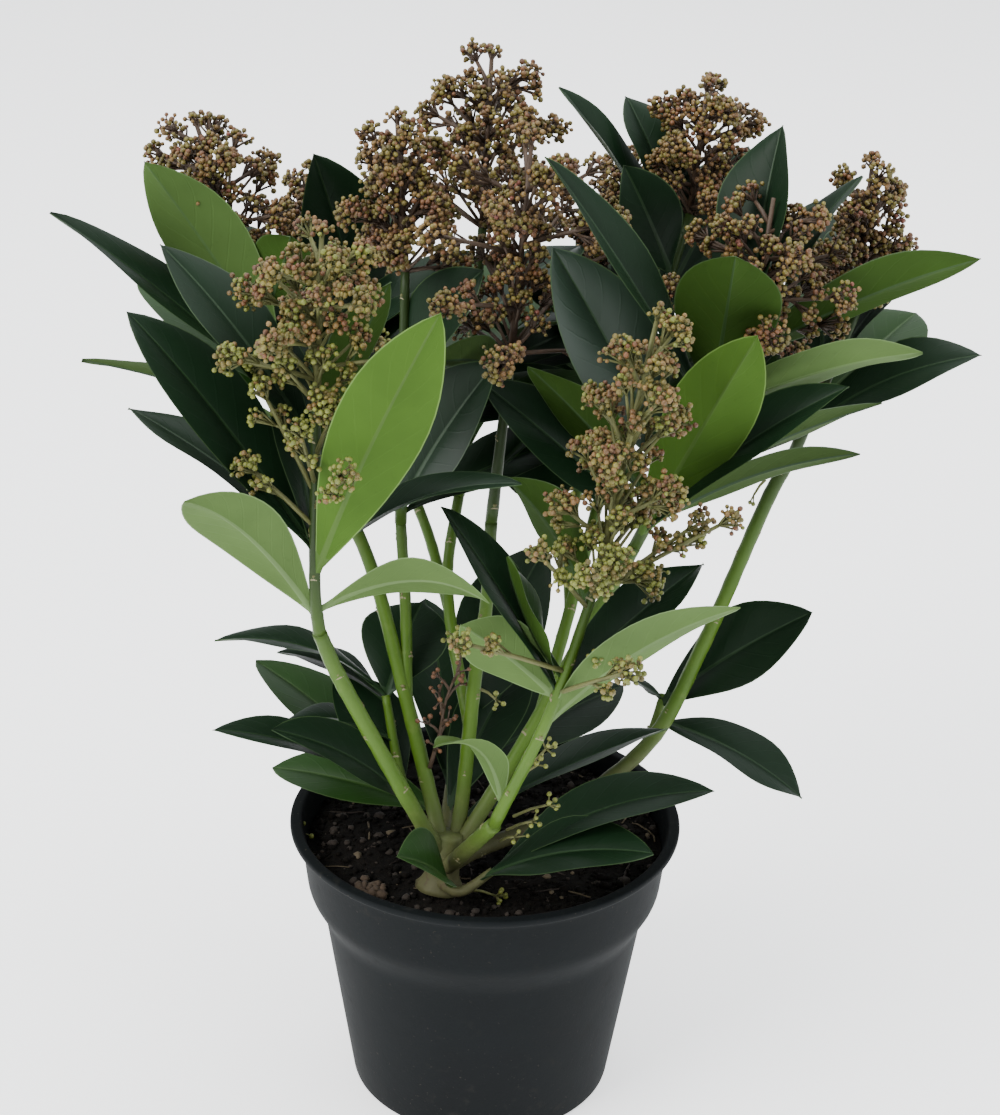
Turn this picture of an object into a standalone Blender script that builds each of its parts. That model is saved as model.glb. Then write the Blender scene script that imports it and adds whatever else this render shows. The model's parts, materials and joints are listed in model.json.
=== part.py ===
"""A potted skimmia: an evergreen dwarf shrub in bud, in a round plastic nursery pot.

The pot stands on its flat underside at z = 0, centred on the Z axis, and the plant faces -Y.
One short pruned trunk carries the boughs. Each bough ends 0.3 mm short of a crown mass: the
shoot's own stem, its whorl of leaves and, on the upper shoots, its cone of flower buds, joined
into one solid. Lengths in the tables are millimetres and angles are degrees.
"""
import math
import random
from collections import namedtuple

import bmesh
import bpy
from mathutils import Matrix, Vector
from mathutils.bvhtree import BVHTree

MM = 0.001
GAP = 0.3
UP = Vector((0, 0, 1))
GOLDEN_ANGLE = 137.5
ROUTE_STEPS = 3

# Pot and soil
POT_HEIGHT = 98
RIM_RADIUS = 65
BASE_RADIUS = 44
COLLAR_TOP_RADIUS = 61.5
COLLAR_FOOT_RADIUS = 59.2
BODY_TOP_RADIUS = 54
LIP_DEPTH = 4
COLLAR_DEPTH = 24
STEP_DEPTH = 33
LIP_ROUND = 0.6
LIP_INSET = 1.2
FOOT_ROUND = 1.5
WALL = 1.4
FLOOR = 2.0
POT_SIDES = 32
SOIL_LEVEL = 90
SOIL_EDGE_DIP = 1.5
SOIL_UNEVEN = (-1.4, 0.6)
SOIL_CALM = 20
SOIL_RINGS = (6, 28)
SOIL_SIDES = 24
SOIL_SEED = 5

# Trunk
TRUNK_FOOT = (-14, -33)
TRUNK_TOP = (-11.5, -30.5, 109)
TRUNK_RADIUS = 4.9
FLARE_RADIUS = 8.2
# Share of the way up the trunk, and the radius there
TRUNK_TAPER = [(0.0, FLARE_RADIUS), (0.1, 6.9), (0.25, 5.4), (0.7, TRUNK_RADIUS), (1.0, 4.5)]
TRUNK_SIDES = 10

# Boughs: the limb each one leaves, how far up that limb, the points it then passes, and its
# radius at each end
Bough = namedtuple("Bough", "parent fork route foot_radius tip_radius")
BOUGHS = {
    "bough_front_left": Bough("trunk", 0.64, [(-19, -36, 114), (-43, -50, 171), (-50, -57, 193)],
                              2.7, 2.2),
    "bough_left": Bough("trunk", 0.60, [(-16, -26, 113), (-27, -10, 150), (-40, 10, 188),
                                        (-60, 28, 220)], 2.6, 2.0),
    "bough_centre": Bough("trunk", 0.52, [(-8, -25, 113), (-4, -17, 159), (-1, -10, 180),
                                          (0, -5, 207)], 2.5, 2.0),
    "bough_right": Bough("trunk", 0.44, [(-4, -27, 110), (12, -18, 136), (30, -10, 170),
                                         (45, -8, 201)], 2.6, 2.1),
    "bough_far_right": Bough("trunk", 0.28, [(-4, -24, 98), (24, 0, 99), (55, 20, 116),
                                             (72, 25, 152), (90, 32, 200), (98, 35, 216)],
                             2.8, 2.3),
    "bough_front": Bough("trunk", 0.32, [(-8, -40, 106), (3, -53, 126)], 2.8, 2.5),
    "bough_top": Bough("bough_centre", 0.40, [(-12, 2, 165), (-14, 20, 180), (-11, 35, 199)],
                       2.0, 1.8),
    "bough_middle_left": Bough("bough_left", 0.36, [(-27, 2, 172), (-29, 9, 200)], 2.0, 1.8),
    "bough_back_right": Bough("bough_right", 0.48, [(26, 6, 172), (36, 33, 204)], 2.1, 1.8),
    "bough_back": Bough("bough_top", 0.50, [(-22, 38, 186), (-36, 66, 206)], 1.9, 1.7),
    "bough_far_back": Bough("bough_back_right", 0.45, [(26, 40, 186), (34, 74, 204)], 1.9, 1.7),
}
BOUGH_SIDES = 6

# Crown masses. A shoot's route runs from the bough's tip up to the throat, where the leaves
# end; the cone of buds stands from there to its peak.
Leaf = namedtuple("Leaf", "at heading rise long wide arch roll fold", defaults=(0.22,))
Spray = namedtuple("Spray", "at heading rise long")
Shoot = namedtuple("Shoot", "parent route peak cone_width cone_count leaves sprays fill fill_from "
                            "fill_to fill_rise seed")
SHOOTS = {
    "crown_front_left": Shoot(
        "bough_front_left", [(-50, -57, 193), (-51, -59, 212), (-50, -58, 266)],
        (-48, -55, 319), 62, 15,
        [Leaf(0.06, 229, 47, 73, 22, 9, 48),
         Leaf(0.26, 318, 62, 106, 26, -3, -59),
         Leaf(0.10, 340, 14, 56, 17, 10, -60),
         Leaf(0.36, 165, 51, 88, 30, 3, -14),
         Leaf(0.80, 152, 46, 74, 26, 3, -4),
         Leaf(0.40, 160, 30, 68, 22, 2, 4),
         Leaf(0.76, 24, 66, 56, 20, 2, -67),
         Leaf(0.34, 115, 66, 70, 22, 2, 25),
         Leaf(0.28, 358, 28, 67, 24, 8, -4)],
        [Spray(0.48, 202, 48, 29), Spray(0.62, 195, 66, 36), Spray(0.56, 291, 38, 35),
         Spray(0.78, 299, 55, 34), Spray(0.66, 258, 57, 26)], 0, 0, 0, 0, 11),
    "crown_left": Shoot(
        "bough_left", [(-60, 28, 220), (-81, 42, 275)], (-97, 48, 323), 58, 13,
        [Leaf(0.10, 187, 43, 104, 27, 4, -8),
         Leaf(0.02, 195, 24, 77, 20, 3, 34),
         Leaf(0.40, 197, 55, 82, 28, 3, 62),
         Leaf(0.70, 302, 58, 40, 21, 2, -38)],
        [], 6, 20, 150, 16, 32),
    "crown_middle_left": Shoot(
        "bough_middle_left", [(-29, 9, 200), (-28, 12, 283)], (-31, 14, 334), 46, 11,
        [Leaf(0.60, 334, 56, 46, 24, 2, 60),
         Leaf(0.05, 315, 56, 74, 28, 2, 86, 0.4)],
        [], 5, 0, 180, 16, 73),
    "crown_top": Shoot(
        "bough_top", [(-11, 35, 199), (-5, 50, 286)], (-3, 55, 345), 60, 15,
        [], [], 8, -40, 220, 16, 44),
    "crown_centre": Shoot(
        "bough_centre", [(0, -5, 207), (5, -2, 262)], (10, 8, 331), 84, 20,
        [Leaf(0.90, 218, 12, 34, 25, 3, 40)],
        [], 5, -30, 210, 16, 75),
    "crown_back_right": Shoot(
        "bough_back_right", [(36, 33, 204), (62, 60, 289)], (66, 65, 333), 56, 12,
        [Leaf(0.78, 223, 60, 46, 22, 2, -104),
         Leaf(0.92, 130, 54, 50, 24, 2, 2, 0.4),
         Leaf(0.85, 160, 50, 66, 18, 2, 1, 0.4),
         Leaf(0.06, 172, 2, 38, 30, 2, -50)],
        [], 6, 10, 130, 18, 36),
    "crown_right": Shoot(
        "bough_right", [(45, -8, 201), (79, 5, 269)], (83, 8, 313), 66, 15,
        [Leaf(0.10, 184, 43, 71, 27, 2, -32),
         Leaf(0.18, 204, 48, 71, 20, 3, 40),
         Leaf(0.32, 193, 59, 85, 31, 2, -62),
         Leaf(0.02, 308, 60, 95, 26, 3, -55),
         Leaf(0.65, 272, 60, 70, 32, 3, -11),
         Leaf(0.05, 343, 44, 84, 28, 5, 21),
         Leaf(0.14, 354, 32, 80, 20, 4, -40),
         Leaf(0.06, 4, 22, 72, 14, 6, -60),
         Leaf(0.85, 357, 28, 80, 26, 4, -52),
         Leaf(0.60, 340, 26, 72, 25, 4, -40),
         Leaf(1.00, 72, 66, 63, 30, 2, -35, 0.4),
         Leaf(1.00, 32, 48, 58, 21, 3, -16),
         Leaf(0.60, 203, 57, 104, 19, 3, -45, 0.45)],
        [], 2, 70, 130, 18, 17),
    "crown_far_right": Shoot(
        "bough_far_right", [(98, 35, 216), (116, 44, 262)], (118, 50, 314), 40, 11,
        [Leaf(0.12, 341, 33, 66, 27, 6, 23),
         Leaf(0.90, 88, 28, 44, 24, 2, 29),
         Leaf(0.50, 48, 40, 55, 24, 2, -29)],
        [Spray(0.50, 225, 40, 22)], 5, 50, 150, 20, 18),
    "crown_front": Shoot(
        "bough_front", [(3, -53, 126), (19, -66, 173), (31, -62, 213)], (47, -50, 298), 46, 14,
        [Leaf(0.08, 221, 50, 42, 17, 9, 16),
         Leaf(0.60, 188, 41, 38, 22, 3, 75),
         Leaf(0.67, 166, 55, 42, 16, -3, 0, 0.5),
         Leaf(0.62, 165, 57, 66, 24, 2, -2),
         Leaf(0.46, 337, 43, 80, 24, 5, -37),
         Leaf(0.62, 38, 26, 62, 27, 2, -9),
         Leaf(0.92, 135, 44, 46, 27, 3, 76)],
        [Spray(0.92, 222, 49, 30), Spray(0.97, 264, 36, 27), Spray(0.95, 9, 37, 38),
         Spray(0.97, 4, 31, 45), Spray(0.62, 306, 33, 38), Spray(0.80, 342, 4, 37),
         Spray(0.70, 208, 26, 38), Spray(0.66, 351, 32, 32)],
        0, 0, 0, 0, 19),
    "crown_back": Shoot(
        "bough_back", [(-36, 66, 206), (-52, 84, 252)], (-64, 92, 296), 44, 11,
        [Leaf(0.60, 233, 72, 77, 33, 2, -105, 0.3)],
        [], 8, 0, 200, 18, 20),
    "crown_far_back": Shoot(
        "bough_far_back", [(34, 74, 204), (42, 96, 254)], (46, 106, 300), 44, 11,
        [], [], 8, -20, 190, 18, 21),
    "foliage_low_left": Shoot(
        "trunk", [(-15, -30, 103), (-26, -20, 118), (-33, -7, 146)], None, 0, 0,
        [Leaf(1.00, 184, 21, 58, 20, 7, 7),
         Leaf(0.95, 162, 16, 40, 22, 4, 12),
         Leaf(0.70, 177, 7, 37, 20, 5, 12),
         Leaf(0.32, 200, 31, 74, 23, 6, -2),
         Leaf(0.20, 207, 39, 66, 25, 6, -18),
         Leaf(0.98, 70, 34, 37, 29, 2, 9),
         Leaf(0.40, 136, 42, 44, 29, 2, 3)],
        [], 2, 90, 150, 10, 22),
    "foliage_low_front": Shoot(
        "trunk", [(-14, -36, 94), (-7, -46, 97), (3, -43, 103)], None, 0, 0,
        [Leaf(1.00, 12, 17, 75, 29, 8, -2),
         Leaf(0.80, 350, 18, 57, 29, 6, 6),
         Leaf(0.25, 231, 42, 35, 22, 3, -35, 0.45)],
        [], 0, 0, 0, 0, 23),
    "foliage_low_right": Shoot(
        "bough_far_right", [(54.5, 20, 115.5), (57, 27, 119), (60, 34, 127)], None, 0, 0,
        [Leaf(0.50, 345, -22, 56, 26, 4, 5),
         Leaf(0.80, 352, 39, 63, 28, 3, 42),
         Leaf(0.90, 190, 30, 32, 14, 2, 0)],
        [], 0, 0, 0, 0, 24),
    "foliage_low_back": Shoot(
        "trunk", [(-13, -28, 100), (-12, 4, 106), (-8, 26, 118)], None, 0, 0,
        [Leaf(1.00, 358, 69, 73, 32, 3, 60)],
        [], 6, 20, 170, 8, 24),
}
STEM_RADIUS = 2.0
THROAT_RADIUS = 1.4
PEAK_RADIUS = 0.8
PEDICEL_RADIUS = 0.8
CLUSTER_RADIUS = 6.8
SPRAY_CLUSTER_RADIUS = 5.4
PEDICEL_SWELL = 1.2
# Where a bunch begins and is widest, as shares of its radius beyond its middle
BUNCH_START = -0.8
BUNCH_WAIST = 0.05
# A cone of buds is widest this share of the way up, and narrows to nothing over this span
CONE_WAIST = 0.3
CONE_SPAN = 0.78
CONE_BLUNTNESS = 0.7
CONE_TOP = 0.93
CONE_SHRINK = 0.3
CONE_SWING = 12
TWIG_DROP = 0.15
TWIG_SHARES = (1, 0.85, 0.7, 0.55)
# Share of the way up a cone, and the core's share of the cone's width there
CORE_STATIONS = [(0.02, 0.12), (0.14, 0.48), (0.36, 0.54), (0.60, 0.48), (0.82, 0.18)]
CORE_SIDES = 6
CORE_SCALES = (1, 0.85, 0.7, 0.55, 0.4)
CORE_UNEVEN = 0.2
PEAK_BUNCH = 0.55
BUNCH_SIDES = 5
STEM_SIDES = 5
AXIS_SIDES = 3
LEAF_THICKNESS = 1.1
PETIOLE_WIDTH = 2.4
PETIOLE_THICKNESS = 1.9
CLEARANCE = 1.0
NAMED_TRIES = 30
FILL_TRIES = 3
FILL_CHANCES = 4
NUDGE = 0.5
FILL_AT = (0.02, 0.65)
FILL_LONG = (64, 82)
FILL_WIDE = 0.35
FILL_ARCH = 4
FILL_SWING = (-12, 22)
FILL_ROLL = 20
# Share of the way along a leaf, and share of its width there
LEAF_STATIONS = [(0.0, None), (0.26, 0.60), (0.50, 0.98), (0.78, 0.84), (1.0, 0.0)]
BLADE_START = 2


def remove_start_objects():
    for thing in list(bpy.data.objects):
        bpy.data.objects.remove(thing, do_unlink=True)


def plain_material(name, colour, roughness, metallic=0.0):
    material = bpy.data.materials.new(name)
    material.use_nodes = True
    shader = material.node_tree.nodes["Principled BSDF"]
    shader.inputs["Base Color"].default_value = (*colour, 1.0)
    shader.inputs["Roughness"].default_value = roughness
    shader.inputs["Metallic"].default_value = metallic
    return material


def make_object(name, shape, material):
    """A mesh object from (points in mm, faces)."""
    points, faces = shape
    mesh = bpy.data.meshes.new(name)
    mesh.from_pydata([Vector(p) * MM for p in points], [], faces)
    mesh.materials.append(material)
    mesh.validate()
    thing = bpy.data.objects.new(name, mesh)
    bpy.context.scene.collection.objects.link(thing)
    return thing


def apply_boolean(thing, operation, cutters):
    """Join or cut with a collection of solids, then remove them."""
    group = bpy.data.collections.new("tools")
    bpy.context.scene.collection.children.link(group)
    for cutter in cutters:
        for home in list(cutter.users_collection):
            home.objects.unlink(cutter)
        group.objects.link(cutter)
    modifier = thing.modifiers.new("combine", "BOOLEAN")
    modifier.operation = operation
    modifier.operand_type = "COLLECTION"
    modifier.collection = group
    modifier.solver = "EXACT"
    modifier.use_self = False
    graph = bpy.context.evaluated_depsgraph_get()
    mesh = bpy.data.meshes.new_from_object(thing.evaluated_get(graph))
    thing.modifiers.clear()
    thing.data = mesh
    for cutter in cutters:
        bpy.data.objects.remove(cutter, do_unlink=True)
    bpy.data.collections.remove(group)


def drop_scraps(thing):
    """Keep only the largest of an object's loose bodies."""
    shape = bmesh.new()
    shape.from_mesh(thing.data)
    left = set(shape.faces)
    bodies = []
    while left:
        rim = [left.pop()]
        body = list(rim)
        while rim:
            for edge in rim.pop().edges:
                for face in edge.link_faces:
                    if face in left:
                        left.remove(face)
                        body.append(face)
                        rim.append(face)
        bodies.append(body)
    bodies.sort(key=len)
    for body in bodies[:-1]:
        bmesh.ops.delete(shape, geom=body, context="FACES")
    shape.to_mesh(thing.data)
    shape.free()


def turned(profile, sides):
    """A closed solid of revolution: a profile of (radius, z) from the axis round to the axis."""
    points = []
    rings = []
    for radius, z in profile:
        if radius == 0:
            rings.append([len(points)])
            points.append((0, 0, z))
            continue
        rings.append(list(range(len(points), len(points) + sides)))
        for k in range(sides):
            turn = math.tau * k / sides
            points.append((radius * math.cos(turn), radius * math.sin(turn), z))
    faces = []
    for low, high in zip(rings, rings[1:]):
        for k in range(sides):
            after = (k + 1) % sides
            if len(low) == 1:
                faces.append((low[0], high[after], high[k]))
            elif len(high) == 1:
                faces.append((low[k], low[after], high[0]))
            else:
                faces.append((low[k], low[after], high[after], high[k]))
    return points, faces


def smooth_route(route, steps):
    """Points along a smooth curve through the route's own points."""
    route = [Vector(p) for p in route]
    if len(route) == 2:
        return [route[0].lerp(route[1], k / steps) for k in range(steps + 1)]
    ends = [route[0] * 2 - route[1]] + route + [route[-1] * 2 - route[-2]]
    curve = []
    for a, b, c, d in zip(ends, ends[1:], ends[2:], ends[3:]):
        for k in range(steps):
            t = k / steps
            curve.append(0.5 * (2 * b + (c - a) * t + (2 * a - 5 * b + 4 * c - d) * t * t
                                + (3 * b - 3 * c + d - a) * t * t * t))
    return curve + [route[-1]]


def tube(curve, radii, sides):
    """A capped tube along a curve, one radius for each of its points."""
    curve = [Vector(p) for p in curve]
    points = []
    side = None
    for k, centre in enumerate(curve):
        along = (curve[min(k + 1, len(curve) - 1)] - curve[max(k - 1, 0)]).normalized()
        if side is None:
            side = along.orthogonal().normalized()
        side = (side - along * side.dot(along)).normalized()
        across = along.cross(side)
        for j in range(sides):
            turn = math.tau * j / sides
            points.append(centre + (side * math.cos(turn) + across * math.sin(turn)) * radii[k])
    faces = [tuple(reversed(range(sides)))]
    for k in range(len(curve) - 1):
        for j in range(sides):
            after = (j + 1) % sides
            faces.append((k * sides + j, k * sides + after,
                          (k + 1) * sides + after, (k + 1) * sides + j))
    faces.append(tuple(range((len(curve) - 1) * sides, len(curve) * sides)))
    return points, faces


def taper(start, end, count):
    return [start + (end - start) * k / (count - 1) for k in range(count)]


def direction(heading, rise):
    heading = math.radians(heading)
    rise = math.radians(rise)
    return Vector((math.cos(rise) * math.cos(heading), math.cos(rise) * math.sin(heading),
                   math.sin(rise)))


def leaf_shape(root, leaf, swell=0.0, start=0):
    """A thin folded blade on its stalk, from the stem's axis at root to its pointed tip."""
    along = direction(leaf.heading, leaf.rise)
    turn = Matrix.Rotation(math.radians(leaf.roll), 3, along)
    side = turn @ along.cross(UP).normalized()
    face = side.cross(along)
    long = leaf.long + swell
    points = []
    for share, fullness in LEAF_STATIONS[start:]:
        middle = root + along * long * share + face * (4 * leaf.arch * share * (1 - share))
        if fullness == 0:
            points.append(middle)
            continue
        half = PETIOLE_WIDTH / 2
        thick = PETIOLE_THICKNESS
        if fullness is not None:
            half = leaf.wide / 2 * fullness
            thick = LEAF_THICKNESS
        lift = face * (half * leaf.fold)
        half += swell / 2
        thick += swell
        points += [middle + side * half + lift, middle + face * thick / 2,
                   middle - side * half + lift, middle - face * thick / 2]
    faces = [(0, 1, 2, 3)]
    rings = len(points) // 4
    for k in range(rings - 1):
        for j in range(4):
            after = (j + 1) % 4
            faces.append((4 * k + after, 4 * k + j, 4 * k + 4 + j, 4 * k + 4 + after))
    for j in range(4):
        faces.append((4 * (rings - 1) + (j + 1) % 4, 4 * (rings - 1) + j, len(points) - 1))
    return points, faces


def bunch_shape(root, end, radius):
    """A twig and the tight bunch of flower buds at its end, as one solid."""
    out = (end - root).normalized()
    curve = [root, end + out * radius * BUNCH_START, end + out * radius * BUNCH_WAIST]
    points, faces = tube(curve, [PEDICEL_RADIUS, PEDICEL_RADIUS * PEDICEL_SWELL, radius],
                         BUNCH_SIDES)
    ring = faces.pop()
    points.append(end + out * radius)
    for start, after in zip(ring, ring[1:] + ring[:1]):
        faces.append((start, after, len(points) - 1))
    return points, faces


class Space:
    """What is already placed, so that a new leaf or cluster keeps clear of it."""

    def __init__(self):
        self.taken = []

    def add(self, owner, shape):
        points, faces = shape
        middle = sum((Vector(p) for p in points), Vector()) / len(points)
        reach = max((Vector(p) - middle).length for p in points)
        self.taken.append((owner, middle, reach, BVHTree.FromPolygons(points, faces)))

    def is_clear(self, shape, ignore=()):
        points, faces = shape
        middle = sum((Vector(p) for p in points), Vector()) / len(points)
        reach = max((Vector(p) - middle).length for p in points)
        tree = BVHTree.FromPolygons(points, faces)
        for owner, other_middle, other_reach, other in self.taken:
            if owner in ignore or (other_middle - middle).length > reach + other_reach:
                continue
            if tree.overlap(other):
                return False
        return True


def along_route(curve, share):
    """The point a given share of the way along a curve."""
    lengths = [(b - a).length for a, b in zip(curve, curve[1:])]
    left = share * sum(lengths)
    for start, end, length in zip(curve, curve[1:], lengths):
        if left <= length:
            return start.lerp(end, left / length)
        left -= length
    return curve[-1].copy()


def cone_reach(shoot, share):
    """How far a cone of buds reaches from its axis, a share of the way up it."""
    return shoot.cone_width / 2 * (1 - ((share - CONE_WAIST) / CONE_SPAN) ** 2) ** CONE_BLUNTNESS


def cone_core(shoot, scale):
    """The lumpy middle of a cone, where its twigs stand too close to see between."""
    throat = Vector(shoot.route[-1])
    axis = Vector(shoot.peak) - throat
    points, faces = tube([throat + axis * share for share, _ in CORE_STATIONS],
                         [cone_reach(shoot, share) * width * scale
                          for share, width in CORE_STATIONS], CORE_SIDES)
    rng = random.Random(shoot.seed)
    for number, point in enumerate(points):
        centre = throat + axis * CORE_STATIONS[number // CORE_SIDES][0]
        points[number] = centre + (point - centre) * rng.uniform(1 - CORE_UNEVEN, 1 + CORE_UNEVEN)
    return points, faces


def cone_twigs(shoot, rng):
    """The twigs of a cone of buds: (root, end, cluster radius), by golden angle up the axis."""
    if shoot.peak is None:
        return []
    throat = Vector(shoot.route[-1])
    axis = Vector(shoot.peak) - throat
    twigs = []
    for k in range(shoot.cone_count):
        share = (k + 0.5) / shoot.cone_count
        out = direction(k * GOLDEN_ANGLE + rng.uniform(-CONE_SWING, CONE_SWING), 0)
        reach = cone_reach(shoot, share) * (1 - 2 * CLUSTER_RADIUS / shoot.cone_width)
        size = CLUSTER_RADIUS * (1 - CONE_SHRINK * share)
        end = throat + axis * (share * CONE_TOP) + out * reach
        root = throat + axis * max(0.0, share * CONE_TOP - TWIG_DROP)
        twigs.append((root, end, size))
    twigs.append((throat + axis * (CONE_TOP - TWIG_DROP), throat + axis * CONE_TOP,
                  CLUSTER_RADIUS * PEAK_BUNCH))
    return twigs


def spray_twigs(shoot, curve):
    """Longer twigs that leave the stem below the cone, each ending in a small bunch."""
    return [(along_route(curve, spray.at),
             along_route(curve, spray.at) + direction(spray.heading, spray.rise) * spray.long,
             SPRAY_CLUSTER_RADIUS) for spray in shoot.sprays]


def place_leaf(space, name, curve, leaf, tries, rng):
    """The leaf, nudged until it is clear of every other mass and of the rest of its own."""
    root = along_route(curve, leaf.at)
    for k in range(tries):
        nudge = NUDGE * k
        trial = leaf._replace(heading=leaf.heading + rng.uniform(-nudge, nudge),
                              rise=leaf.rise + rng.uniform(-nudge, nudge),
                              roll=leaf.roll + rng.uniform(-nudge, nudge))
        whole = leaf_shape(root, trial, CLEARANCE)
        blade = leaf_shape(root, trial, CLEARANCE, BLADE_START)
        own_stem = name + " stem"
        if space.is_clear(whole, (name, own_stem)) and space.is_clear(blade, (own_stem,)):
            space.add(name, blade)
            space.add(own_stem, leaf_shape(root, trial))
            return trial
    return None


def grow_masses(space):
    """Each shoot's solids, placed in turn: stems, cones, named leaves, then the seeded fill."""
    grown = {}
    for name, shoot in SHOOTS.items():
        curve = smooth_route(shoot.route, ROUTE_STEPS)
        lift = (curve[1] - curve[0]).normalized() * GAP
        curve[0] = curve[0] + lift
        radii = taper(STEM_RADIUS, THROAT_RADIUS, len(curve))
        stem = tube(curve, radii, STEM_SIDES)
        grown[name] = {"curve": curve, "stem": stem, "pieces": [], "leaves": [],
                       "rng": random.Random(shoot.seed)}
        space.add(name + " stem", tube(curve, [r + CLEARANCE / 2 for r in radii], STEM_SIDES))
    for name, shoot in SHOOTS.items():
        mass = grown[name]
        if shoot.peak is not None:
            throat = mass["curve"][-1]
            axis = [throat, throat.lerp(Vector(shoot.peak), CONE_TOP)]
            mass["pieces"].append(tube(axis, [THROAT_RADIUS, PEAK_RADIUS], AXIS_SIDES))
            space.add(name + " stem", mass["pieces"][-1])
    for name, shoot in SHOOTS.items():
        mass = grown[name]
        for leaf in shoot.leaves:
            placed = place_leaf(space, name, mass["curve"], leaf, NAMED_TRIES, mass["rng"])
            if placed:
                mass["leaves"].append(placed)
    for name, shoot in SHOOTS.items():
        mass = grown[name]
        own = (name, name + " stem")
        for scale in CORE_SCALES if shoot.peak else ():
            if space.is_clear(cone_core(shoot, scale), own):
                mass["pieces"].append(cone_core(shoot, scale))
                space.add(own[1], cone_core(shoot, scale))
                break
        twigs = cone_twigs(shoot, mass["rng"]) + spray_twigs(shoot, mass["curve"])
        for root, end, size in twigs:
            for share in TWIG_SHARES:
                near = root.lerp(end, share)
                swollen = bunch_shape(root, near, size + CLEARANCE / 2)
                if space.is_clear(swollen, own[1:]):
                    mass["pieces"].append(bunch_shape(root, near, size))
                    space.add(own[1], swollen)
                    break
    for name, shoot in SHOOTS.items():
        mass = grown[name]
        rng = mass["rng"]
        made = 0
        for k in range(shoot.fill * FILL_CHANCES):
            if made == shoot.fill:
                break
            sweep = (k * GOLDEN_ANGLE) % 360 / 360
            long = rng.uniform(*FILL_LONG)
            leaf = Leaf(rng.uniform(*FILL_AT),
                        shoot.fill_from + (shoot.fill_to - shoot.fill_from) * sweep,
                        shoot.fill_rise + rng.uniform(*FILL_SWING), long, long * FILL_WIDE,
                        FILL_ARCH, rng.uniform(-FILL_ROLL, FILL_ROLL))
            placed = place_leaf(space, name, mass["curve"], leaf, FILL_TRIES, rng)
            if placed:
                mass["leaves"].append(placed)
                made += 1
    return grown


def pot_profiles():
    """The pot's outer and inner walls as (radius, z), foot to lip and lip to floor."""
    top = POT_HEIGHT
    step = top - STEP_DEPTH
    collar = top - COLLAR_DEPTH
    outer = [(0, 0), (BASE_RADIUS - FOOT_ROUND, 0), (BASE_RADIUS, FOOT_ROUND),
             (BODY_TOP_RADIUS, step), (COLLAR_FOOT_RADIUS, collar),
             (COLLAR_TOP_RADIUS, top - LIP_DEPTH), (RIM_RADIUS, top - LIP_DEPTH / 2),
             (RIM_RADIUS, top - LIP_ROUND), (RIM_RADIUS - LIP_ROUND, top)]
    inner = [(COLLAR_TOP_RADIUS - WALL + LIP_INSET, top),
             (COLLAR_TOP_RADIUS - WALL, top - LIP_DEPTH), (COLLAR_FOOT_RADIUS - WALL, collar),
             (BODY_TOP_RADIUS - WALL, step), (BASE_RADIUS - WALL, FLOOR), (0, FLOOR)]
    return outer, inner


def build_pot(space, material):
    outer, inner = pot_profiles()
    pot = make_object("pot", turned(outer + inner, POT_SIDES), material)
    pot.data.shade_smooth()
    pot.data.set_sharp_from_angle(angle=math.radians(25))
    shell = [(r + CLEARANCE / 2, z) for r, z in outer[3:]]
    mouth = (shell[-1][0], POT_HEIGHT + CLEARANCE / 2)
    peat = (inner[0][0] - CLEARANCE, SOIL_LEVEL + CLEARANCE / 2)
    space.add("pot", turned(shell[:-1] + [mouth, (inner[0][0] - CLEARANCE, mouth[1]), peat,
                                          (0, peat[1])], POT_SIDES))


def build_soil(material):
    """A plug that fills the pot to just under its rim, its top gently uneven."""
    _, inner = pot_profiles()
    wall = [(r - GAP, z) for r, z in reversed(inner[2:-1])]
    wall[0] = (wall[0][0], FLOOR + GAP)
    foot_radius, foot_z = wall[-1]
    top_radius = inner[1][0] - GAP
    edge_z = SOIL_LEVEL - SOIL_EDGE_DIP
    share = (edge_z - foot_z) / (inner[1][1] - foot_z)
    edge = foot_radius + (top_radius - foot_radius) * share
    top = [(edge - inset, SOIL_LEVEL) for inset in SOIL_RINGS]
    points, faces = turned([(0, FLOOR + GAP)] + wall + [(edge, edge_z)] + top
                           + [(0, SOIL_LEVEL)], SOIL_SIDES)
    rng = random.Random(SOIL_SEED)
    foot = Vector((*TRUNK_FOOT, SOIL_LEVEL))
    uneven = []
    for x, y, z in points:
        if z == SOIL_LEVEL and (Vector((x, y, z)) - foot).length > SOIL_CALM:
            z += rng.uniform(*SOIL_UNEVEN)
        uneven.append((x, y, z))
    return make_object("soil", (uneven, faces), material)


def trunk_line(share):
    foot = Vector((*TRUNK_FOOT, SOIL_LEVEL + GAP))
    return foot.lerp(Vector(TRUNK_TOP), share)


def trunk_shape(swell=0.0):
    """The trunk, flared at its foot and cut level there."""
    curve = [trunk_line(share) for share, _ in TRUNK_TAPER]
    points, faces = tube(curve, [radius + swell for _, radius in TRUNK_TAPER], TRUNK_SIDES)
    for k in range(TRUNK_SIDES):
        points[k].z = curve[0].z - swell
        points[-1 - k].z += swell
    return points, faces


def bough_curve(name):
    """A bough's centre line, from the middle of the limb it leaves."""
    bough = BOUGHS[name]
    if bough.parent == "trunk":
        foot = trunk_line(bough.fork)
    else:
        foot = along_route(bough_curve(bough.parent), bough.fork)
    return smooth_route([foot] + bough.route, ROUTE_STEPS)


def bough_shape(name, swell=0.0):
    bough = BOUGHS[name]
    curve = bough_curve(name)
    radii = taper(bough.foot_radius + swell, bough.tip_radius + swell, len(curve))
    return tube(curve, radii, BOUGH_SIDES)


def limb_tool(name, material):
    """A copy of the trunk or of a bough, larger by the gap that its neighbours keep."""
    shape = trunk_shape(GAP) if name == "trunk" else bough_shape(name, GAP)
    return make_object("tool_" + name, shape, material)


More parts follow.
